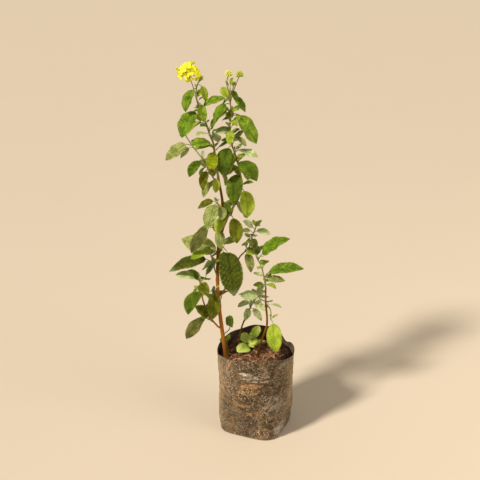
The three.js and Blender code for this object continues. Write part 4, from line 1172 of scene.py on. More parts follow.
def fibre_finish(look):
    net = Finish("coir_fibre", 0.8, 0.15)
    streak = net.noise(net.place, 700.0, 4.0, 0.65)
    fibre = tuple(look.fibre_colour)
    colour = net.mix(net.value("tint"), shade(fibre, 0.16), capped(shade(fibre, 1.7)))
    colour = net.wash(colour, streak, 0.4, STAINED_FIBRE)
    edge = net.times(net.group(shaded_edge(), {"Vector": net.place})["Mask"], net.value("lying"))
    colour = net.wash(colour, edge, 0.9, SHADED_FIBRE)
    return net.close(colour, net.span(streak, 0.3, 0.7, 0.7, 0.9), streak, FIBRE_RELIEF, 0.6)


# What a user may change

class LantanaBagLook(bpy.types.PropertyGroup):
    film_colour: FloatVectorProperty(name="Film", description="Colour of the clean film", subtype="COLOR",
                                     default=(0.012, 0.008, 0.005), min=0, max=1)
    dust_colour: FloatVectorProperty(name="Dust", description="Colour of the dust on the film",
                                     subtype="COLOR", default=(0.19, 0.112, 0.052), min=0, max=1)
    dust_amount: FloatProperty(name="Dust amount", description="Share of the film that dust covers",
                               default=0.4, min=0, max=1, subtype="FACTOR")
    film: FloatProperty(name="Film thickness", description="Thickness of the film",
                        default=0.0004, unit="LENGTH")
    crinkle: FloatProperty(name="Crinkle", description="Depth of the creases in the film",
                           default=0.0018, unit="LENGTH")


class LantanaSoilLook(bpy.types.PropertyGroup):
    soil_colour: FloatVectorProperty(name="Soil", description="Colour of the potting soil", subtype="COLOR",
                                     default=(0.2, 0.07, 0.03), min=0, max=1)
    fibre_colour: FloatVectorProperty(name="Fibres", description="Colour of the coir fibres", subtype="COLOR",
                                      default=(0.6, 0.34, 0.19), min=0, max=1)
    crumbs: IntProperty(name="Crumbs", description="Loose crumbs on the soil", default=520, min=0, max=1200)
    fibres: IntProperty(name="Fibres", description="Loose fibres on the soil", default=700, min=0, max=1500)


class LantanaLeafLook(bpy.types.PropertyGroup):
    thickness: FloatProperty(name="Blade thickness", description="Thickness of a blade at its middle",
                             default=0.00035, unit="LENGTH")
    tooth: FloatProperty(name="Tooth depth", description="Depth of the teeth as a share of half the width",
                         default=0.08, min=0, max=0.4, subtype="FACTOR")
    puffiness: FloatProperty(name="Puffiness",
                             description="Height of the swells between veins, as a share of length",
                             default=0.022, min=0, max=0.05)


class LantanaFlowerLook(bpy.types.PropertyGroup):
    petal_colour: FloatVectorProperty(name="Petals", description="Colour of the petals", subtype="COLOR",
                                      default=(0.95, 0.93, 0.045), min=0, max=1)
    throat_colour: FloatVectorProperty(name="Throats", description="Colour of the florets' throats",
                                       subtype="COLOR", default=(0.76, 0.62, 0.004), min=0, max=1)


class LantanaStageLook(bpy.types.PropertyGroup):
    floor_colour: FloatVectorProperty(name="Floor", description="Colour of the floor", subtype="COLOR",
                                      default=(0.62, 0.55, 0.47), min=0, max=1)
    key_power: FloatProperty(name="Key light", description="Strength of the sun-like key light", default=4.5)
    key_spread: FloatProperty(name="Key softness", description="Spread of the key light", default=0.16,
                              subtype="ANGLE")
    fill_power: FloatProperty(name="Fill light", description="Power of the fill light", default=12.0,
                              unit="POWER")
    air_light: FloatProperty(name="Air light", description="Strength of the light from all round",
                             default=0.38)


# Operators

# Edges that stay sharp, in degrees, on stems, on blades, petals and buds, on film, and on soil.
STEM_EDGE, BLADE_EDGE, FILM_EDGE, SOIL_EDGE_ANGLE = 70, 60, 75, 80

# Bark ridges: how wide and how long the noise runs on a stem, broad and fine.
RIDGE_WIDTH, RIDGE_RISE, FINE_RISE = 2.2, 0.09, 0.6
# Limbs and shoots: sides, spacing of rings in mm, depth of the ridges and step between noise seeds.
MAIN_SIDES, LIMB_SIDES, LIMB_SPACING, LIMB_RIDGES, LIMB_STEP = 22, 14, 1.1, 0.13, 7.3
SHOOT_SIDES, SHOOT_SPACING, SHOOT_RIDGES, SHOOT_STEP, SHOOT_START = 10, 1.6, 0.05, 3.1, 50
# A leaf scar: where its rings lie, their radii, and its size and sinking as shares of the stem's radius.
SCAR_LIFTS, SCAR_RADII = (-0.2, 0.15, 0.45, 0.6), (0.5, 0.62, 0.42, 0.2)
SCAR_SIZE, SCAR_SINK, SCAR_SIDES = 0.55, 0.82, 8
# Flower stalks and petioles: rings, a stalk's end radius, a petiole's sag and its radii at shares of
# its length, and the tones of leaves with redder petioles.
STALK_RINGS, STALK_END = 12, 0.85
PETIOLE_SAG, PETIOLE_RINGS = 0.07, 8
PETIOLE_AT, PETIOLE_RADII = (0, 0.15, 0.8, 1), (0.95, 0.62, 0.5, 0.2)
OLD_TONES = "dgvkom"

# Blades: spacing of the teeth in mm, their least and most, and columns from the midrib to the edge.
BLADE_SEED, BLADE_SEED_STEP = 9000, 13
TOOTH_SPACING, TEETH_LEAST, TEETH_MOST = 2.1, 5, 18
SMALL_LEAF, BLADE_COLUMNS, SMALL_COLUMNS = 13, (0, 0.07, 0.27, 0.5, 0.76, 1), (0, 0.1, 0.5, 1)
TOOTH_POWER, TOOTH_SWEEP = 5, 0.42
YOUNG_TOOTH = 2
# Swells between the side veins, which sweep forward to the margin.
LARGE_LEAF, LARGE_PAIRS, SMALL_PAIRS, VEIN_SWEEP, VEIN_POWER = 24, 9, 6, 0.3, 0.85
# What each blade draws: uneven fold, waves of its margin, twist and sway; and how soft its fold is.
UNEVEN_FOLDS, WAVES, WAVE_STARTS, SWINGS = (0, 9), (1.4, 3.2), (0, 6.28), (0.02, 0.08)
TWISTS, SWAYS, FOLD_SOFTNESS = (-34, 34), (-0.045, 0.045), 0.012
# The midrib under a blade: depth, width as a share of half the blade, and the length at which it is full.
RIB_DEPTH, RIB_WIDTH, RIB_FULL = 0.5, 0.05, 34


def lofted_limb(pile, stem, sides, spacing, roughness, ages, seed):
    """Adds a stem with ridges in its bark."""
    long = stem["curve"].length
    count = max(4, round(long / spacing))
    shares = np.linspace(0, 1, count + 1)
    points = stem["curve"].at(shares)
    relief = np.ones((count + 1, sides))
    for i, point in enumerate(points):
        for j, turn in enumerate(turns_round(sides)):
            spot = Vector((math.cos(turn) * RIDGE_WIDTH, math.sin(turn) * RIDGE_WIDTH,
                           point[2] * RIDGE_RISE + seed))
            fine = Vector((spot.x * 3, spot.y * 3, point[2] * FINE_RISE + seed))
            relief[i, j] += roughness * (noise.noise(spot * 1.5) * 0.6 + noise.noise(fine) * 0.5)
    values = {key: span[0] + (span[1] - span[0]) * shares for key, span in ages.items()}
    pile.loft(tube(points, radius_along(stem, shares), sides, relief), **values)


class LANTANA_OT_stems(bpy.types.Operator):
    """Grows the woody stems with ridged bark and leaf scars"""
    bl_idname = "lantana.stems"
    bl_label = "Woody stems"

    def execute(self, context):
        pile = Pile()
        for index, (name, stem) in enumerate(LIMBS.items()):
            sides = MAIN_SIDES if name == "main_stem" else LIMB_SIDES
            ages = {"youth": stem["youth"], "tan": stem["tan"]}
            lofted_limb(pile, stem, sides, LIMB_SPACING, LIMB_RIDGES, ages, index * LIMB_STEP)
            for share in stem.get("nodes", ()):
                self.scars(pile, stem, share, index)
        piece = pile.make("woody_stems", bark_finish(), STEM_EDGE)
        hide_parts(*LIMBS)
        return {"FINISHED"}

    def scars(self, pile, stem, share, index):
        """A pair of small leaf scars on a node."""
        point = stem["curve"].at(share)
        radius = float(radius_along(stem, share))
        for half in (0, 180):
            out = aim(half + 70 * index + 300 * share, 0)
            centre = point + out * radius * SCAR_SINK
            ball = tube([centre + out * k for k in SCAR_LIFTS],
                        np.array(SCAR_RADII) * radius * SCAR_SIZE, SCAR_SIDES)
            pile.loft(ball, youth=stem["youth"][0], tan=0.6 * stem["tan"][0] + 0.2)


class LANTANA_OT_foliage(bpy.types.Operator):
    """Grows the shoots, petioles and toothed leaves"""
    bl_idname = "lantana.foliage"
    bl_label = "Foliage"

    def execute(self, context):
        look = context.scene.lantana_leaf
        leaves = grow_leaves()
        shoots = Pile()
        for index, (name, mass) in enumerate(MASSES.items()):
            self.shoot(shoots, mass, index)
        piles = {}
        for number, leaf in enumerate(leaves):
            self.petiole(shoots, leaf)
            self.blade(piles.setdefault(leaf.tone, Pile()), leaf, look, number)
        piece = shoots.make("green_shoots", shoot_finish(), STEM_EDGE)
        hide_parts(*MASSES)
        for tone, pile in piles.items():
            piece = pile.make(TONES[tone][0], leaf_finish(tone), BLADE_EDGE)
            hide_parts(*sorted({leaf.owner for leaf in leaves if leaf.tone == tone}))
        return {"FINISHED"}

    def shoot(self, pile, mass, index):
        stem = {**mass, "nodes": [share for share, *_ in mass["leaves"]]}
        lofted_limb(pile, stem, SHOOT_SIDES, SHOOT_SPACING, SHOOT_RIDGES, {"youth": mass["youth"]},
                    SHOOT_START + index * SHOOT_STEP)
        shares = np.linspace(0, 1, STALK_RINGS)
        for stalk in mass.get("stalks", ()):
            radii = np.interp(shares, (0, 0.5, 0.9, 1), (*STALK_RADII, STALK_END))
            pile.loft(tube(Curve(stalk).at(shares), radii, 8), youth=np.linspace(0.35, 0.2, STALK_RINGS))

    def petiole(self, pile, leaf):
        shares = np.linspace(0, 1, PETIOLE_RINGS)
        reach = leaf.base - leaf.node
        sag = np.sin(shares * math.pi)[:, None] * np.array((0, 0, PETIOLE_SAG)) * np.linalg.norm(reach)
        line = leaf.node + reach * shares[:, None] + sag
        line = np.vstack((line, leaf.at(0.05) - leaf.up(0.05) * 0.15))
        thick = min(1.0, 0.35 + leaf.length / 45)
        radii = np.interp(np.linspace(0, 1, PETIOLE_RINGS + 1), PETIOLE_AT, PETIOLE_RADII) * thick
        pile.loft(tube(line, radii, 7), youth=0.55 if leaf.tone in OLD_TONES else 0.95)

    def blade(self, pile, leaf, look, number):
        draw = seeded(BLADE_SEED + BLADE_SEED_STEP * number)
        teeth = int(min(max(round(leaf.length / TOOTH_SPACING), TEETH_LEAST), TEETH_MOST))
        tooth = look.tooth * (YOUNG_TOOTH if leaf.tone == "b" else 1)
        columns = BLADE_COLUMNS if leaf.length > SMALL_LEAF else SMALL_COLUMNS
        v = np.concatenate((-np.array(columns)[::-1], columns[1:]))
        rows = 2 * teeth
        t = np.arange(1, rows)[:, None] / rows
        odd = (np.arange(1, rows)[:, None] % 2) * 2 - 1
        half = leaf.half(t) * fullness(t) * (1 + odd * tooth * 0.5 * np.abs(v) ** TOOTH_POWER)
        swept = np.clip(t + TOOTH_SWEEP / rows * np.maximum(odd, 0) * np.abs(v) ** TOOTH_POWER, 0, 0.998)
        # Across the blade: folded at the midrib and curled down towards the margins.
        curl = drawn(draw, CURLS.get(leaf.tone, COMMON_CURLS)) * (0.55 + 0.45 * t)
        fold = (leaf.look["fold"] + drawn(draw, UNEVEN_FOLDS) * np.sign(v)) * DEG
        soft = np.sqrt(v * v + FOLD_SOFTNESS) - math.sqrt(FOLD_SOFTNESS)
        lateral, drop = np.sin(curl * soft) / curl, (1 - np.cos(curl * soft)) / curl
        wide = (lateral * np.cos(fold) + drop * np.sin(fold)) * np.sign(v)
        tall = lateral * np.sin(fold) - drop * np.cos(fold)
        waves, start, swing = drawn(draw, WAVES), drawn(draw, WAVE_STARTS), drawn(draw, SWINGS)
        tall = tall + swing * np.sin(2 * math.pi * waves * t + start * np.sign(v)) * v * v
        pairs = LARGE_PAIRS if leaf.length > LARGE_LEAF else SMALL_PAIRS
        swell = np.sin(math.pi * pairs * (t - VEIN_SWEEP * np.abs(v) ** VEIN_POWER)) ** 2 * (1 - 0.6 * v * v)
        swell = swell * smooth(0, 0.12, t) * smooth(1, 0.8, t) * smooth(0, 0.12, np.abs(v))
        height = half * tall + swell * look.puffiness * leaf.length
        # Along the blade: a slight twist and sway.
        twist = drawn(draw, TWISTS) * DEG * (swept - 0.3)
        sway = drawn(draw, SWAYS) * leaf.length * np.sin(math.pi * swept)
        side, rise = leaf.side + 0 * swept[..., None], leaf.up(swept)
        turned = side * np.cos(twist)[..., None] + rise * np.sin(twist)[..., None]
        up = rise * np.cos(twist)[..., None] - side * np.sin(twist)[..., None]
        middle = (leaf.at(swept) + side * sway[..., None] + turned * (wide * half)[..., None]
                  + up * height[..., None])
        body = look.thickness / MM / 2 * (1 - v * v) ** 0.5
        rib = RIB_DEPTH * bump(v, RIB_WIDTH) * (1 - t) ** 0.6 * min(1, leaf.length / RIB_FULL)
        top = middle + up * (body + 0 * t)[..., None]
        bottom = middle - up * (body + rib)[..., None]
        rings = np.concatenate((top, bottom[:, -2:0:-1]), axis=1)
        uv_top = np.stack(np.broadcast_arrays(0.5 + v / 2, swept), -1)
        uv = np.concatenate((uv_top, uv_top[:, -2:0:-1]), axis=1)
        pile.loft(rings, foot=leaf.at(0), tip=leaf.at(1), uv=uv, under_from=len(v) - 1, tint=draw())


# Florets: seeds, sides, sizes of the open and the half-open ones, and what each draws.
FLORET_SEED, FLORET_SEED_STEP, FLORET_SIDES = 5000, 31, 24
OPEN_SIZES, HALF_OPEN_SIZES = (0.98, 1.26), (0.55, 0.8)
FLORET_LIFTS, FLORET_TILTS = (-2.2, 2.2), (-0.45, 0.45)
# Closed florets in the head's middle: how many, where their rings lie, the radii and how much is tube.
CLOSED_COUNT, CLOSED_LIFTS = 5, (6, 10, 12.2, 13.4, 14.2)
CLOSED_RADII, CLOSED_TUBE = (0.4, 0.7, 1.15, 1.1, 0.4), (1, 0.4, 0, 0, 0)
# Buds and bracts: radii along them as shares, and how far a bud has ripened along it.
BUD_SHAPE, BUD_RIM = (0.5, 0.85, 1, 0.75, 0.25), (0, 0.1, 0.55, 0.9, 1)
BRACT_SHAPE, BRACT_WIDTH = (0.5, 0.8, 0.75, 0.5, 0.12), 0.14
HEAD_BRACTS, HEAD_BRACT_LENGTH = 7, 6.5
# Bud clusters by their number: buds, ripeness and bracts.
CLUSTERS = ((34, 1.0, 6), (34, 0.5, 9), (18, 0.5, 6))


class LANTANA_OT_flowers(bpy.types.Operator):
    """Makes the flower head and the bud clusters"""
    bl_idname = "lantana.flowers"
    bl_label = "Flower head and buds"

    def execute(self, context):
        florets = grow_florets()
        petals, buds = Pile(), Pile()
        for number, (centre, out, reach) in enumerate(florets):
            self.floret(petals, centre, out, reach, number)
            self.bud(buds, centre, out, HEAD_CORE * 0.6, reach * 0.62, 1.0, 0.15)
        self.unopened(petals, florets)
        for mass in MASSES.values():
            for number, (x, y, z, r) in enumerate(mass.get("buds", ())):
                self.cluster(buds, np.array((x, y, z)), r, number)
        head = MASSES["foliage_crown_left"]["flower"]
        self.bracts(buds, np.array(head), HEAD_BRACT_LENGTH, HEAD_BRACTS)
        piece = petals.make("florets", petal_finish(context.scene.lantana_flower), BLADE_EDGE)
        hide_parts("foliage_crown_left")
        piece = buds.make("bud_clusters", bud_finish(), BLADE_EDGE)
        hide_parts("foliage_crown_left", "foliage_crown_right")
        return {"FINISHED"}

    def floret(self, pile, centre, out, reach, number):
        """A curved tube that opens to four round lobes."""
        draw = seeded(FLORET_SEED + FLORET_SEED_STEP * number)
        turns = turns_round(FLORET_SIDES)
        across = unit(np.cross(out, (0.3, 0.2, 1)))
        over = np.cross(out, across)
        shifted = turns + drawn(draw, WAVE_STARTS)
        size = FLORET_RADIUS * drawn(draw, OPEN_SIZES if number % 3 else HALF_OPEN_SIZES)
        reach += drawn(draw, FLORET_LIFTS)
        tilt = across * drawn(draw, FLORET_TILTS) + over * drawn(draw, FLORET_TILTS)
        lobes = 0.76 + 0.24 * np.abs(np.cos(2 * shifted)) ** 0.6 + 0.06 * np.cos(shifted)
        # Each ring: lift, radius, how lobed it is, share of the way to the rim, and how much is tube.
        rows = (
            (2.3, 0.4, 0, 0, 1), (reach * 0.6, 0.6, 0, 0, 1), (reach - 1.6, 0.85, 0, 0.05, 0.5),
            (reach - 0.55, 0.42 * size, 0.6, 0.4, 0.1), (reach - 0.15, 0.78 * size, 0.9, 0.8, 0),
            (reach + 0.1, size, 1, 1, 0), (reach + 0.32, 0.8 * size, 0.9, 0.8, 0),
            (reach - 0.1, 0.45 * size, 0.6, 0.4, 0), (reach - 0.7, 0.2 * size, 0.2, 0.1, 0),
        )
        spokes = across * np.cos(turns)[:, None] + over * np.sin(turns)[:, None]
        lean = spokes @ tilt
        rings = []
        for lift, radius, lobed, _, _ in rows:
            r = radius * (1 + lobed * (lobes - 1))
            wave = lobed * (0.5 * np.cos(4 * shifted) - 0.25 * np.cos(8 * shifted) - 0.35) * 0.9
            rings.append(centre + out * (lift + wave + lean * r * 0.8)[:, None] + spokes * r[:, None])
        _, _, _, rim, tubed = zip(*rows)
        age = max(0.0, -out[2]) * 0.8 + 0.2 * draw()
        pile.loft(rings, tip=centre + out * (reach - 1.5), rim=rim, tube=tubed, age=age)

    def unopened(self, pile, florets):
        """A few closed florets in the middle of the head."""
        centre, axis = florets[0][0], unit(np.array((0, 0, 1)) + SUN * HEAD_LEAN)
        for i in range(CLOSED_COUNT):
            out = unit(dome_point(i, 26, 1.4) + SUN * HEAD_LEAN + axis * 0.4)
            line = centre + out * np.array(CLOSED_LIFTS)[:, None]
            pile.loft(tube(line, CLOSED_RADII, 6), rim=0.7, tube=CLOSED_TUBE, age=0.35)

    def bud(self, pile, centre, out, start, end, ripe, slim=0.2):
        line = centre + out * np.linspace(start, end, 5)[:, None]
        length = end - start
        radii = np.array(BUD_SHAPE) * length * slim
        pile.loft(tube(line, radii, 6), rim=BUD_RIM, ripe=ripe)

    def cluster(self, pile, centre, r, number):
        count, ripeness, bracts = CLUSTERS[number]
        for i in range(count):
            out = unit(dome_point(i, count, 1.75) + 0.001)
            long = r * (1.08 if number != 1 else 1.0 + 0.18 * math.sin(i * 2.4))
            ripe = ripeness * (0.7 + 0.3 * math.sin(i * 1.7) ** 2)
            self.bud(pile, centre, out, r * 0.1, min(long, r * 1.08), ripe, 0.21)
        self.bracts(pile, centre, r * 1.05, bracts)

    def bracts(self, pile, centre, long, count):
        """Narrow pointed leaves under a cluster."""
        for i in range(count):
            out = aim(i * 360 / count + 20, -22)
            line = centre - np.array((0, 0, long * 0.25)) + out * np.linspace(0.1, 1, 5)[:, None] * long
            line = line + np.array((0, 0, 0.28 * long)) * np.linspace(0, 1, 5)[:, None] ** 2
            rings = tube(line, np.array(BRACT_SHAPE) * long * BRACT_WIDTH, 6)
            pile.loft(rings, rim=0.15, ripe=0.4)


# The bag's mesh: sides round it, rows up it, and rings in its foot with how each is drawn in.
BAG_SIDES = 300
BAG_ROWS = 130
FOOT_RINGS, FOOT_SHRINK = 5, 0.74
# How deep the crinkles go as a share of the setting, how far the film is drawn in, and the foot's rise.
CRINKLE_SHARE, FILM_INSET, FOOT_LIFT = 0.7, 0.25, 0.35


def select_edges(mesh, wanted):
    bpy.context.tool_settings.mesh_select_mode = (False, True, False)
    bpy.ops.mesh.select_all(action="DESELECT")
    edit = bmesh.from_edit_mesh(mesh)
    for edge in edit.edges:
        if wanted(edge):
            edge.select_set(True)
    bmesh.update_edit_mesh(mesh)


def crinkles(turn, height):
    """How far the film stands out at a place, from -1 to 0.2, sharp where it is creased."""
    a = turn * DEG
    x, y = math.cos(a) * 55, math.sin(a) * 55
    bend = noise.noise(Vector((x, y, height)) / 34) * 1.1
    slant = height + 0.32 * x + 6 * bend
    broad = noise.noise(Vector((x / 30, y / 30, slant / 11 + 3)))
    cross = noise.noise(Vector((x / 14 + slant / 26, y / 14, slant / 17 + 9)))
    small = noise.noise(Vector((x / 6.5, y / 6.5, height / 4.2 + 20)))
    tiny = noise.noise(Vector((x / 2.6, y / 2.6, height / 2.1 + 40)))
    folds = -1.5 * (1 - abs(broad) * 2.6) ** 2 if abs(broad) < 0.38 else 0
    crosses = -0.8 * (1 - abs(cross) * 4) ** 2 if abs(cross) < 0.25 else 0
    return 0.45 * folds + 0.35 * crosses + 0.32 * small + 0.16 * tiny - 0.15


# Named folds in the film: direction and level of both ends, depth and width, all in mm and degrees.
FOLD_LINES = (
    ((200, 75), (268, 91.5), 0.9, 1.3), ((264, 91.5), (348, 74), 0.9, 1.3), ((236, 108), (286, 98), 0.8, 1.2),
    ((232, 74), (262, 68), 0.9, 1.4), ((250, 52), (300, 44), 0.9, 1.6), ((292, 88), (322, 62), 0.9, 1.4),
    ((222, 32), (262, 44), 0.8, 1.7), ((300, 24), (336, 12), 0.9, 1.6), ((20, 40), (80, 78), 1.0, 1.8),
    ((95, 96), (150, 70), 0.9, 1.7), ((110, 26), (170, 50), 0.9, 1.8), ((355, 96), (30, 60), 0.8, 1.6),
)


def fold_depth(turns, heights):
    """Grooves along the named folds, each with a raised lip above it."""
    depth = np.zeros_like(turns)
    for (turn_a, level_a), (turn_b, level_b), deep, wide in FOLD_LINES:
        span = turn_between(turn_b, turn_a)
        share = turn_between(turns, turn_a) / span
        level = level_a + (level_b - level_a) * share + 0.4 * np.sin(share * 9)
        fade = smooth(-0.08, 0.12, share) * smooth(1.08, 0.88, share)
        off = heights - level
        depth += deep * fade * (0.55 * bump(off - 1.4 * wide, wide) - bump(off, wide))
    return depth


class LANTANA_OT_bag(bpy.types.Operator):
    """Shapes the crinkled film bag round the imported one"""
    bl_idname = "lantana.bag"
    bl_label = "Grow bag"

    def execute(self, context):
        look = context.scene.lantana_bag
        start_alone()
        bpy.ops.mesh.primitive_cylinder_add(vertices=BAG_SIDES, radius=1, depth=1, end_fill_type="NOTHING",
                                            location=(0, 0, 0.5))
        bag = context.object
        bag.name = bag.data.name = "grow_bag_film"
        bpy.ops.object.transform_apply(location=True, rotation=True, scale=True)
        bpy.ops.object.mode_set(mode="EDIT")
        select_edges(bag.data, lambda e: abs(e.verts[0].co.z - e.verts[1].co.z) > 0.5)
        bpy.ops.mesh.subdivide(number_cuts=BAG_ROWS)
        select_edges(bag.data, lambda e: max(v.co.z for v in e.verts) < 0.001)
        for _ in range(FOOT_RINGS):
            bpy.ops.mesh.extrude_edges_move()
            bpy.ops.transform.resize(value=(FOOT_SHRINK, FOOT_SHRINK, 1))
        bpy.ops.mesh.edge_face_add()
        bpy.ops.mesh.poke()
        bpy.ops.object.mode_set(mode="OBJECT")
        self.shape(bag, look)
        self.thicken(bag, look)
        finish_piece(bag, film_finish(look), FILM_EDGE)
        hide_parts("grow_bag")
        return {"FINISHED"}

    def shape(self, bag, look):
        """Moves the tube's points to the bag's wall and foot, and marks where the film stands out and sinks
        in.
        """
        mesh = bag.data
        count = len(mesh.vertices)
        spots = np.empty(count * 3)
        mesh.vertices.foreach_get("co", spots)
        spots = spots.reshape(-1, 3)
        turns = np.degrees(np.arctan2(spots[:, 1], spots[:, 0]))
        part = np.hypot(spots[:, 0], spots[:, 1])
        heights = np.maximum(spots[:, 2], 0) * mouth_height(turns)
        wrinkle = np.array([crinkles(t, h) for t, h in zip(turns, heights)]) + fold_depth(turns, heights)
        ease = smooth(0, 6, heights) * (1 - 0.65 * smooth(-7, 0, heights - mouth_height(turns)))
        radii = bag_radius(turns, heights) + wrinkle * look.crinkle / MM * CRINKLE_SHARE * ease - FILM_INSET
        floor_lift = np.where(part < 0.99, FOOT_LIFT * (1 - part), 0)
        shaped = np.stack((np.cos(turns * DEG) * radii * part, np.sin(turns * DEG) * radii * part,
                           heights + floor_lift), 1)
        mesh.vertices.foreach_set("co", (shaped * MM).ravel())
        # Where the film stands out and sinks in, for the painted highlight and painted shade of its folds.
        mark(mesh, "crest_highlight", smooth(0.05, 0.5, wrinkle) * ease)
        mark(mesh, "groove_shade", smooth(-0.35, -1.4, wrinkle) * ease)
        mesh.update()

    def thicken(self, bag, look):
        """Gives the film its thickness, and marks what faces inwards."""
        outer = len(bag.data.vertices)
        wall = bag.modifiers.new("Film", "SOLIDIFY")
        wall.thickness = look.film
        wall.offset = -1
        bpy.context.view_layer.objects.active = bag
        bpy.ops.object.modifier_apply(modifier=wall.name)
        mark(bag.data, "inside", np.arange(len(bag.data.vertices)) >= outer)


# How far the soil stays off the film's outside, and how crumbs and fibres are scattered on it.
SOIL_GAP = 2.3
SOIL_SEED = 77
CRUMB_SHARE, CRUMB_GAP, CRUMB_LEAST, CRUMB_MORE, CRUMB_POWER = 0.95, 2, 0.6, 2.8, 2.4
CRUMB_WIDTHS, CRUMB_HEIGHTS, CRUMB_LIGHTNESS = (0.7, 1.3), (0.5, 0.85), 1.2
FIBRE_SHARE, FIBRE_GAP, FIBRE_STEPS = 0.93, 1, 6
FIBRE_CURLS, FIBRE_LENGTHS, FIBRE_ARCHES, FIBRE_RADII = (-26, 26), (5, 20), (0.2, 2.6), (0.1, 0.36)
FIBRE_LIFT, FIBRE_INSET = 0.25, 0.5
# Shares of the ball of points at which the soil's side starts and at which its top does.
SIDE_FROM, TOP_FROM = 0.05, 0.25
STRAW_RINGS = 14
# Dry straws that hang over the mouth's front left, each a path, a radius and a lightness.
STRAWS = (
    ([(-20, -33, 117), (-27.5, -38, 121.5), (-34.2, -42.3, 119.6), (-38, -41, 112), (-41.5, -37.6, 103)],
     0.34, 1.0),
    ([(-36, -30, 117), (-37.5, -36, 119.5), (-38.8, -39.8, 118.2), (-37, -43, 110)], 0.26, 0.9),
    ([(-6, -40, 114), (-3, -47, 118), (2, -52, 119.6), (6, -54.6, 117)], 0.24, 0.8),
)


def soil_top(x, y):
    """The soil's surface with its fine lumps, at many places."""
    x, y = np.atleast_1d(x), np.atleast_1d(y)
    rough = [1.5 * noise.noise(spot / 11) + 0.9 * noise.noise(spot / 4.6) + 0.5 * noise.noise(spot / 2.1)
             for spot in (Vector((a, b, 5.0)) for a, b in zip(x, y))]
    return soil_height(x, y) + np.array(rough)


def soil_spot(chance, share, gap):
    """A random place on the soil, kept inside its edge by a gap."""
    turn, part = chance.uniform(0, 360), math.sqrt(chance.random()) * share
    r = (float(bag_radius(turn, SOIL_LEVEL)) - SOIL_GAP - gap) * part
    return r * math.cos(turn * DEG), r * math.sin(turn * DEG)


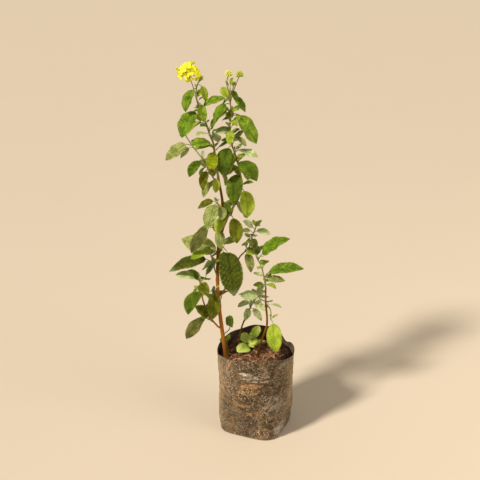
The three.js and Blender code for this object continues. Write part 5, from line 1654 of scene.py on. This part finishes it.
class LANTANA_OT_soil(bpy.types.Operator):
    """Fills the bag with lumpy soil, crumbs and coir fibres"""
    bl_idname = "lantana.soil"
    bl_label = "Potting soil"

    def execute(self, context):
        look = context.scene.lantana_soil
        self.bed(context, look)
        self.crumbs(context, look)
        self.fibres(context, look)
        return {"FINISHED"}

    def bed(self, context, look):
        """A closed ball of points laid out as the soil's underside, side and top."""
        start_alone()
        bpy.ops.mesh.primitive_uv_sphere_add(segments=200, ring_count=150, radius=1)
        bed = context.object
        bed.name = bed.data.name = "soil_bed"
        spots = np.array([vertex.co[:] for vertex in bed.data.vertices])
        turns = np.degrees(np.arctan2(spots[:, 1], spots[:, 0]))
        share = 0.5 + np.arcsin(np.clip(spots[:, 2], -1, 1)) / math.pi
        out = np.stack((np.cos(turns * DEG), np.sin(turns * DEG)), 1)
        edge = bag_radius(turns, SOIL_LEVEL) - SOIL_GAP
        edge_top = soil_top(*(out * edge[:, None]).T)
        heights = FOOT_ROUNDING + (edge_top - FOOT_ROUNDING) * np.clip((share - SIDE_FROM) / 0.2, 0, 1)
        radii = (bag_radius(turns, heights) - SOIL_GAP) * np.minimum(1, share / SIDE_FROM)
        heights = np.where(share < SIDE_FROM, 2, heights)
        on_top = share > TOP_FROM
        radii = np.where(on_top, edge * (1 - (share - TOP_FROM) / (1 - TOP_FROM)), radii)
        heights = np.where(on_top, soil_top(*(out * radii[:, None]).T), heights)
        shaped = np.column_stack((out * radii[:, None], heights)) * MM
        bed.data.vertices.foreach_set("co", shaped.ravel())
        mark(bed.data, "tint", np.zeros(len(spots)))
        finish_piece(bed, soil_finish("potting_soil", look), SOIL_EDGE_ANGLE)
        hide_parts("potting_soil")

    def crumbs(self, context, look):
        """Loose crumbs: one small lump copied, each copy squashed and dented its own way."""
        start_alone()
        bpy.ops.mesh.primitive_ico_sphere_add(subdivisions=2, radius=1)
        lump = context.object
        shape = np.array([v.co[:] for v in lump.data.vertices])
        faces = [tuple(p.vertices) for p in lump.data.polygons]
        bpy.data.objects.remove(lump)
        chance = random.Random(SOIL_SEED)
        points, polygons, tints = [], [], []
        for number in range(look.crumbs):
            x, y = soil_spot(chance, CRUMB_SHARE, CRUMB_GAP)
            size = CRUMB_LEAST + CRUMB_MORE * chance.random() ** CRUMB_POWER
            squash = np.array([chance.uniform(*span) for span in (CRUMB_WIDTHS, CRUMB_WIDTHS, CRUMB_HEIGHTS)])
            dent = np.array([1 + 0.45 * noise.noise(Vector(p * 1.6) + Vector((number, 0, 0))) for p in shape])
            placed = shape * dent[:, None] * squash * size + (x, y, soil_top(x, y)[0] + 0.25 * size)
            polygons += [tuple(i + len(points) * len(shape) for i in face) for face in faces]
            points.append(placed)
            tints += [chance.random()] * len(shape)
        mesh = bpy.data.meshes.new("soil_crumbs")
        mesh.from_pydata((np.vstack(points) * MM).tolist(), [], polygons)
        mark(mesh, "tint", tints)
        piece = linked("soil_crumbs", mesh)
        finish_piece(piece, soil_finish("soil_crumb", look, CRUMB_LIGHTNESS), SOIL_EDGE_ANGLE)

    def fibres(self, context, look):
        """Thin curled fibres that lie on the soil and stand a little off it."""
        chance = random.Random(SOIL_SEED + 1)
        pile = Pile()
        rings = FIBRE_STEPS + 1
        for _ in range(look.fibres):
            x, y = soil_spot(chance, FIBRE_SHARE, FIBRE_GAP)
            heading, curl = chance.uniform(0, 360), chance.uniform(*FIBRE_CURLS)
            long, arch = chance.uniform(*FIBRE_LENGTHS), chance.uniform(*FIBRE_ARCHES)
            line = []
            for step in range(rings):
                lift = math.sin(math.pi * step / FIBRE_STEPS) * arch + FIBRE_LIFT
                line.append((x, y, soil_top(x, y)[0] + lift))
                x += math.cos(heading * DEG) * long / FIBRE_STEPS
                y += math.sin(heading * DEG) * long / FIBRE_STEPS
                heading += curl
            x, y, _ = np.array(line).T
            edge = bag_radius(np.degrees(np.arctan2(y, x)), SOIL_LEVEL)
            if (np.hypot(x, y) > edge - SOIL_GAP - FIBRE_INSET).any():
                continue
            radii = np.full(rings, chance.uniform(*FIBRE_RADII))
            pile.loft(tube(line, radii, 5), tint=chance.random() ** 2, lying=1)
        shares = np.linspace(0, 1, STRAW_RINGS)
        for path, radius, tint in STRAWS:
            radii = np.interp(shares, (0, 0.8, 1), (1, 0.8, 0.3)) * radius
            pile.loft(tube(Curve(path).at(shares), radii, 6), tint=tint, lying=0)
        piece = pile.make("coir_fibres", fibre_finish(look), SOIL_EDGE_ANGLE)


# Stage, in metres: the floor, what the lights face, and where and in which tint each shines.
FLOOR_SIZE = 60
MIDDLE = (-0.02, 0, 0.26)
KEY_PLACE, KEY_TINT = (-1.16, -0.98, 1.5), (1, 0.9, 0.74)
FILL_PLACE, FILL_TINT, FILL_SIZE = (1.3, -0.9, 0.9), (1, 0.88, 0.72), 1.4
AIR_TINT = (1, 0.87, 0.68, 1)
# The photograph's camera: place, how many degrees it looks down, and its focal length in pixels.
CAMERA_PLACE, CAMERA_PITCH = (-0.0225, -1.07, 0.625), 17.9
FOCAL_PIXELS, PHOTO_PIXELS, SENSOR_WIDTH, FAR_CLIP = 833, 480, 36, 200


def add_light(name, kind, place, tint, power):
    """A light that faces the plant's middle."""
    bpy.ops.object.light_add(type=kind, location=place)
    lamp = bpy.context.object
    lamp.name = name
    lamp.data.energy, lamp.data.color = power, tint
    lamp.rotation_euler = (Vector(MIDDLE) - lamp.location).to_track_quat("-Z", "Y").to_euler()
    return lamp.data


class LANTANA_OT_stage(bpy.types.Operator):
    """Sets the plain floor, the soft studio light and the camera"""
    bl_idname = "lantana.stage"
    bl_label = "Stage"

    def execute(self, context):
        look = context.scene.lantana_stage
        start_alone()
        bpy.ops.mesh.primitive_plane_add(size=FLOOR_SIZE, location=(0, 0, 0))
        ground = context.object
        ground.name = "studio_floor"
        net = Finish("studio_floor", 0.8, 0.2)
        soft = net.noise(net.place, 3.0, 2.0, 0.5)
        colour = tuple(look.floor_colour)
        net.feed(net.shader.inputs["Base Color"], net.mix(soft, colour, shade(colour, 0.97)))
        ground.data.materials.append(net.material)
        key = add_light("key_light", "SUN", KEY_PLACE, KEY_TINT, look.key_power)
        key.angle = look.key_spread
        fill = add_light("fill_light", "AREA", FILL_PLACE, FILL_TINT, look.fill_power)
        fill.shape, fill.size = "DISK", FILL_SIZE
        world = bpy.data.worlds.new("studio_air")
        context.scene.world = world
        world.use_nodes = True
        air = world.node_tree.nodes["Background"].inputs
        air[0].default_value, air[1].default_value = AIR_TINT, look.air_light
        self.camera(context)
        context.scene.view_settings.view_transform = "Standard"
        return {"FINISHED"}

    def camera(self, context):
        """The photograph's viewing angle, for a square frame."""
        bpy.ops.object.camera_add(location=CAMERA_PLACE, rotation=((90 - CAMERA_PITCH) * DEG, 0, 0))
        camera = context.object
        camera.name = "photo_camera"
        camera.data.sensor_width = SENSOR_WIDTH
        camera.data.lens = FOCAL_PIXELS / PHOTO_PIXELS * SENSOR_WIDTH
        camera.data.clip_end = FAR_CLIP
        context.scene.camera = camera


class LANTANA_PT_panel(bpy.types.Panel):
    """Lists the plant's pieces and their settings"""
    bl_idname = "LANTANA_PT_panel"
    bl_label = "Lantana"
    bl_space_type = "VIEW_3D"
    bl_region_type = "UI"
    bl_category = "Lantana"

    def draw(self, context):
        for maker, looks in STEPS:
            box = self.layout.box()
            box.operator(maker.bl_idname)
            if looks:
                settings = getattr(context.scene, looks)
                for key in settings.bl_rna.properties.keys():
                    if key not in ("rna_type", "name"):
                        box.prop(settings, key)


LOOKS = {
    "lantana_bag": LantanaBagLook,
    "lantana_soil": LantanaSoilLook,
    "lantana_leaf": LantanaLeafLook,
    "lantana_flower": LantanaFlowerLook,
    "lantana_stage": LantanaStageLook,
}
STEPS = (
    (LANTANA_OT_stage, "lantana_stage"),
    (LANTANA_OT_bag, "lantana_bag"),
    (LANTANA_OT_soil, "lantana_soil"),
    (LANTANA_OT_stems, None),
    (LANTANA_OT_foliage, "lantana_leaf"),
    (LANTANA_OT_flowers, "lantana_flower"),
)
CLASSES = (*LOOKS.values(), *(maker for maker, _ in STEPS), LANTANA_PT_panel)


def register():
    for part in CLASSES:
        bpy.utils.register_class(part)
    for name, look in LOOKS.items():
        setattr(bpy.types.Scene, name, PointerProperty(type=look))


def unregister():
    for name in LOOKS:
        delattr(bpy.types.Scene, name)
    for part in reversed(CLASSES):
        bpy.utils.unregister_class(part)


def main():
    register()
    for maker, _ in STEPS:
        group, name = maker.bl_idname.split(".")
        if getattr(getattr(bpy.ops, group), name)() != {"FINISHED"}:
            raise RuntimeError(maker.bl_label + " was not finished")


if __name__ == "__main__":
    main()
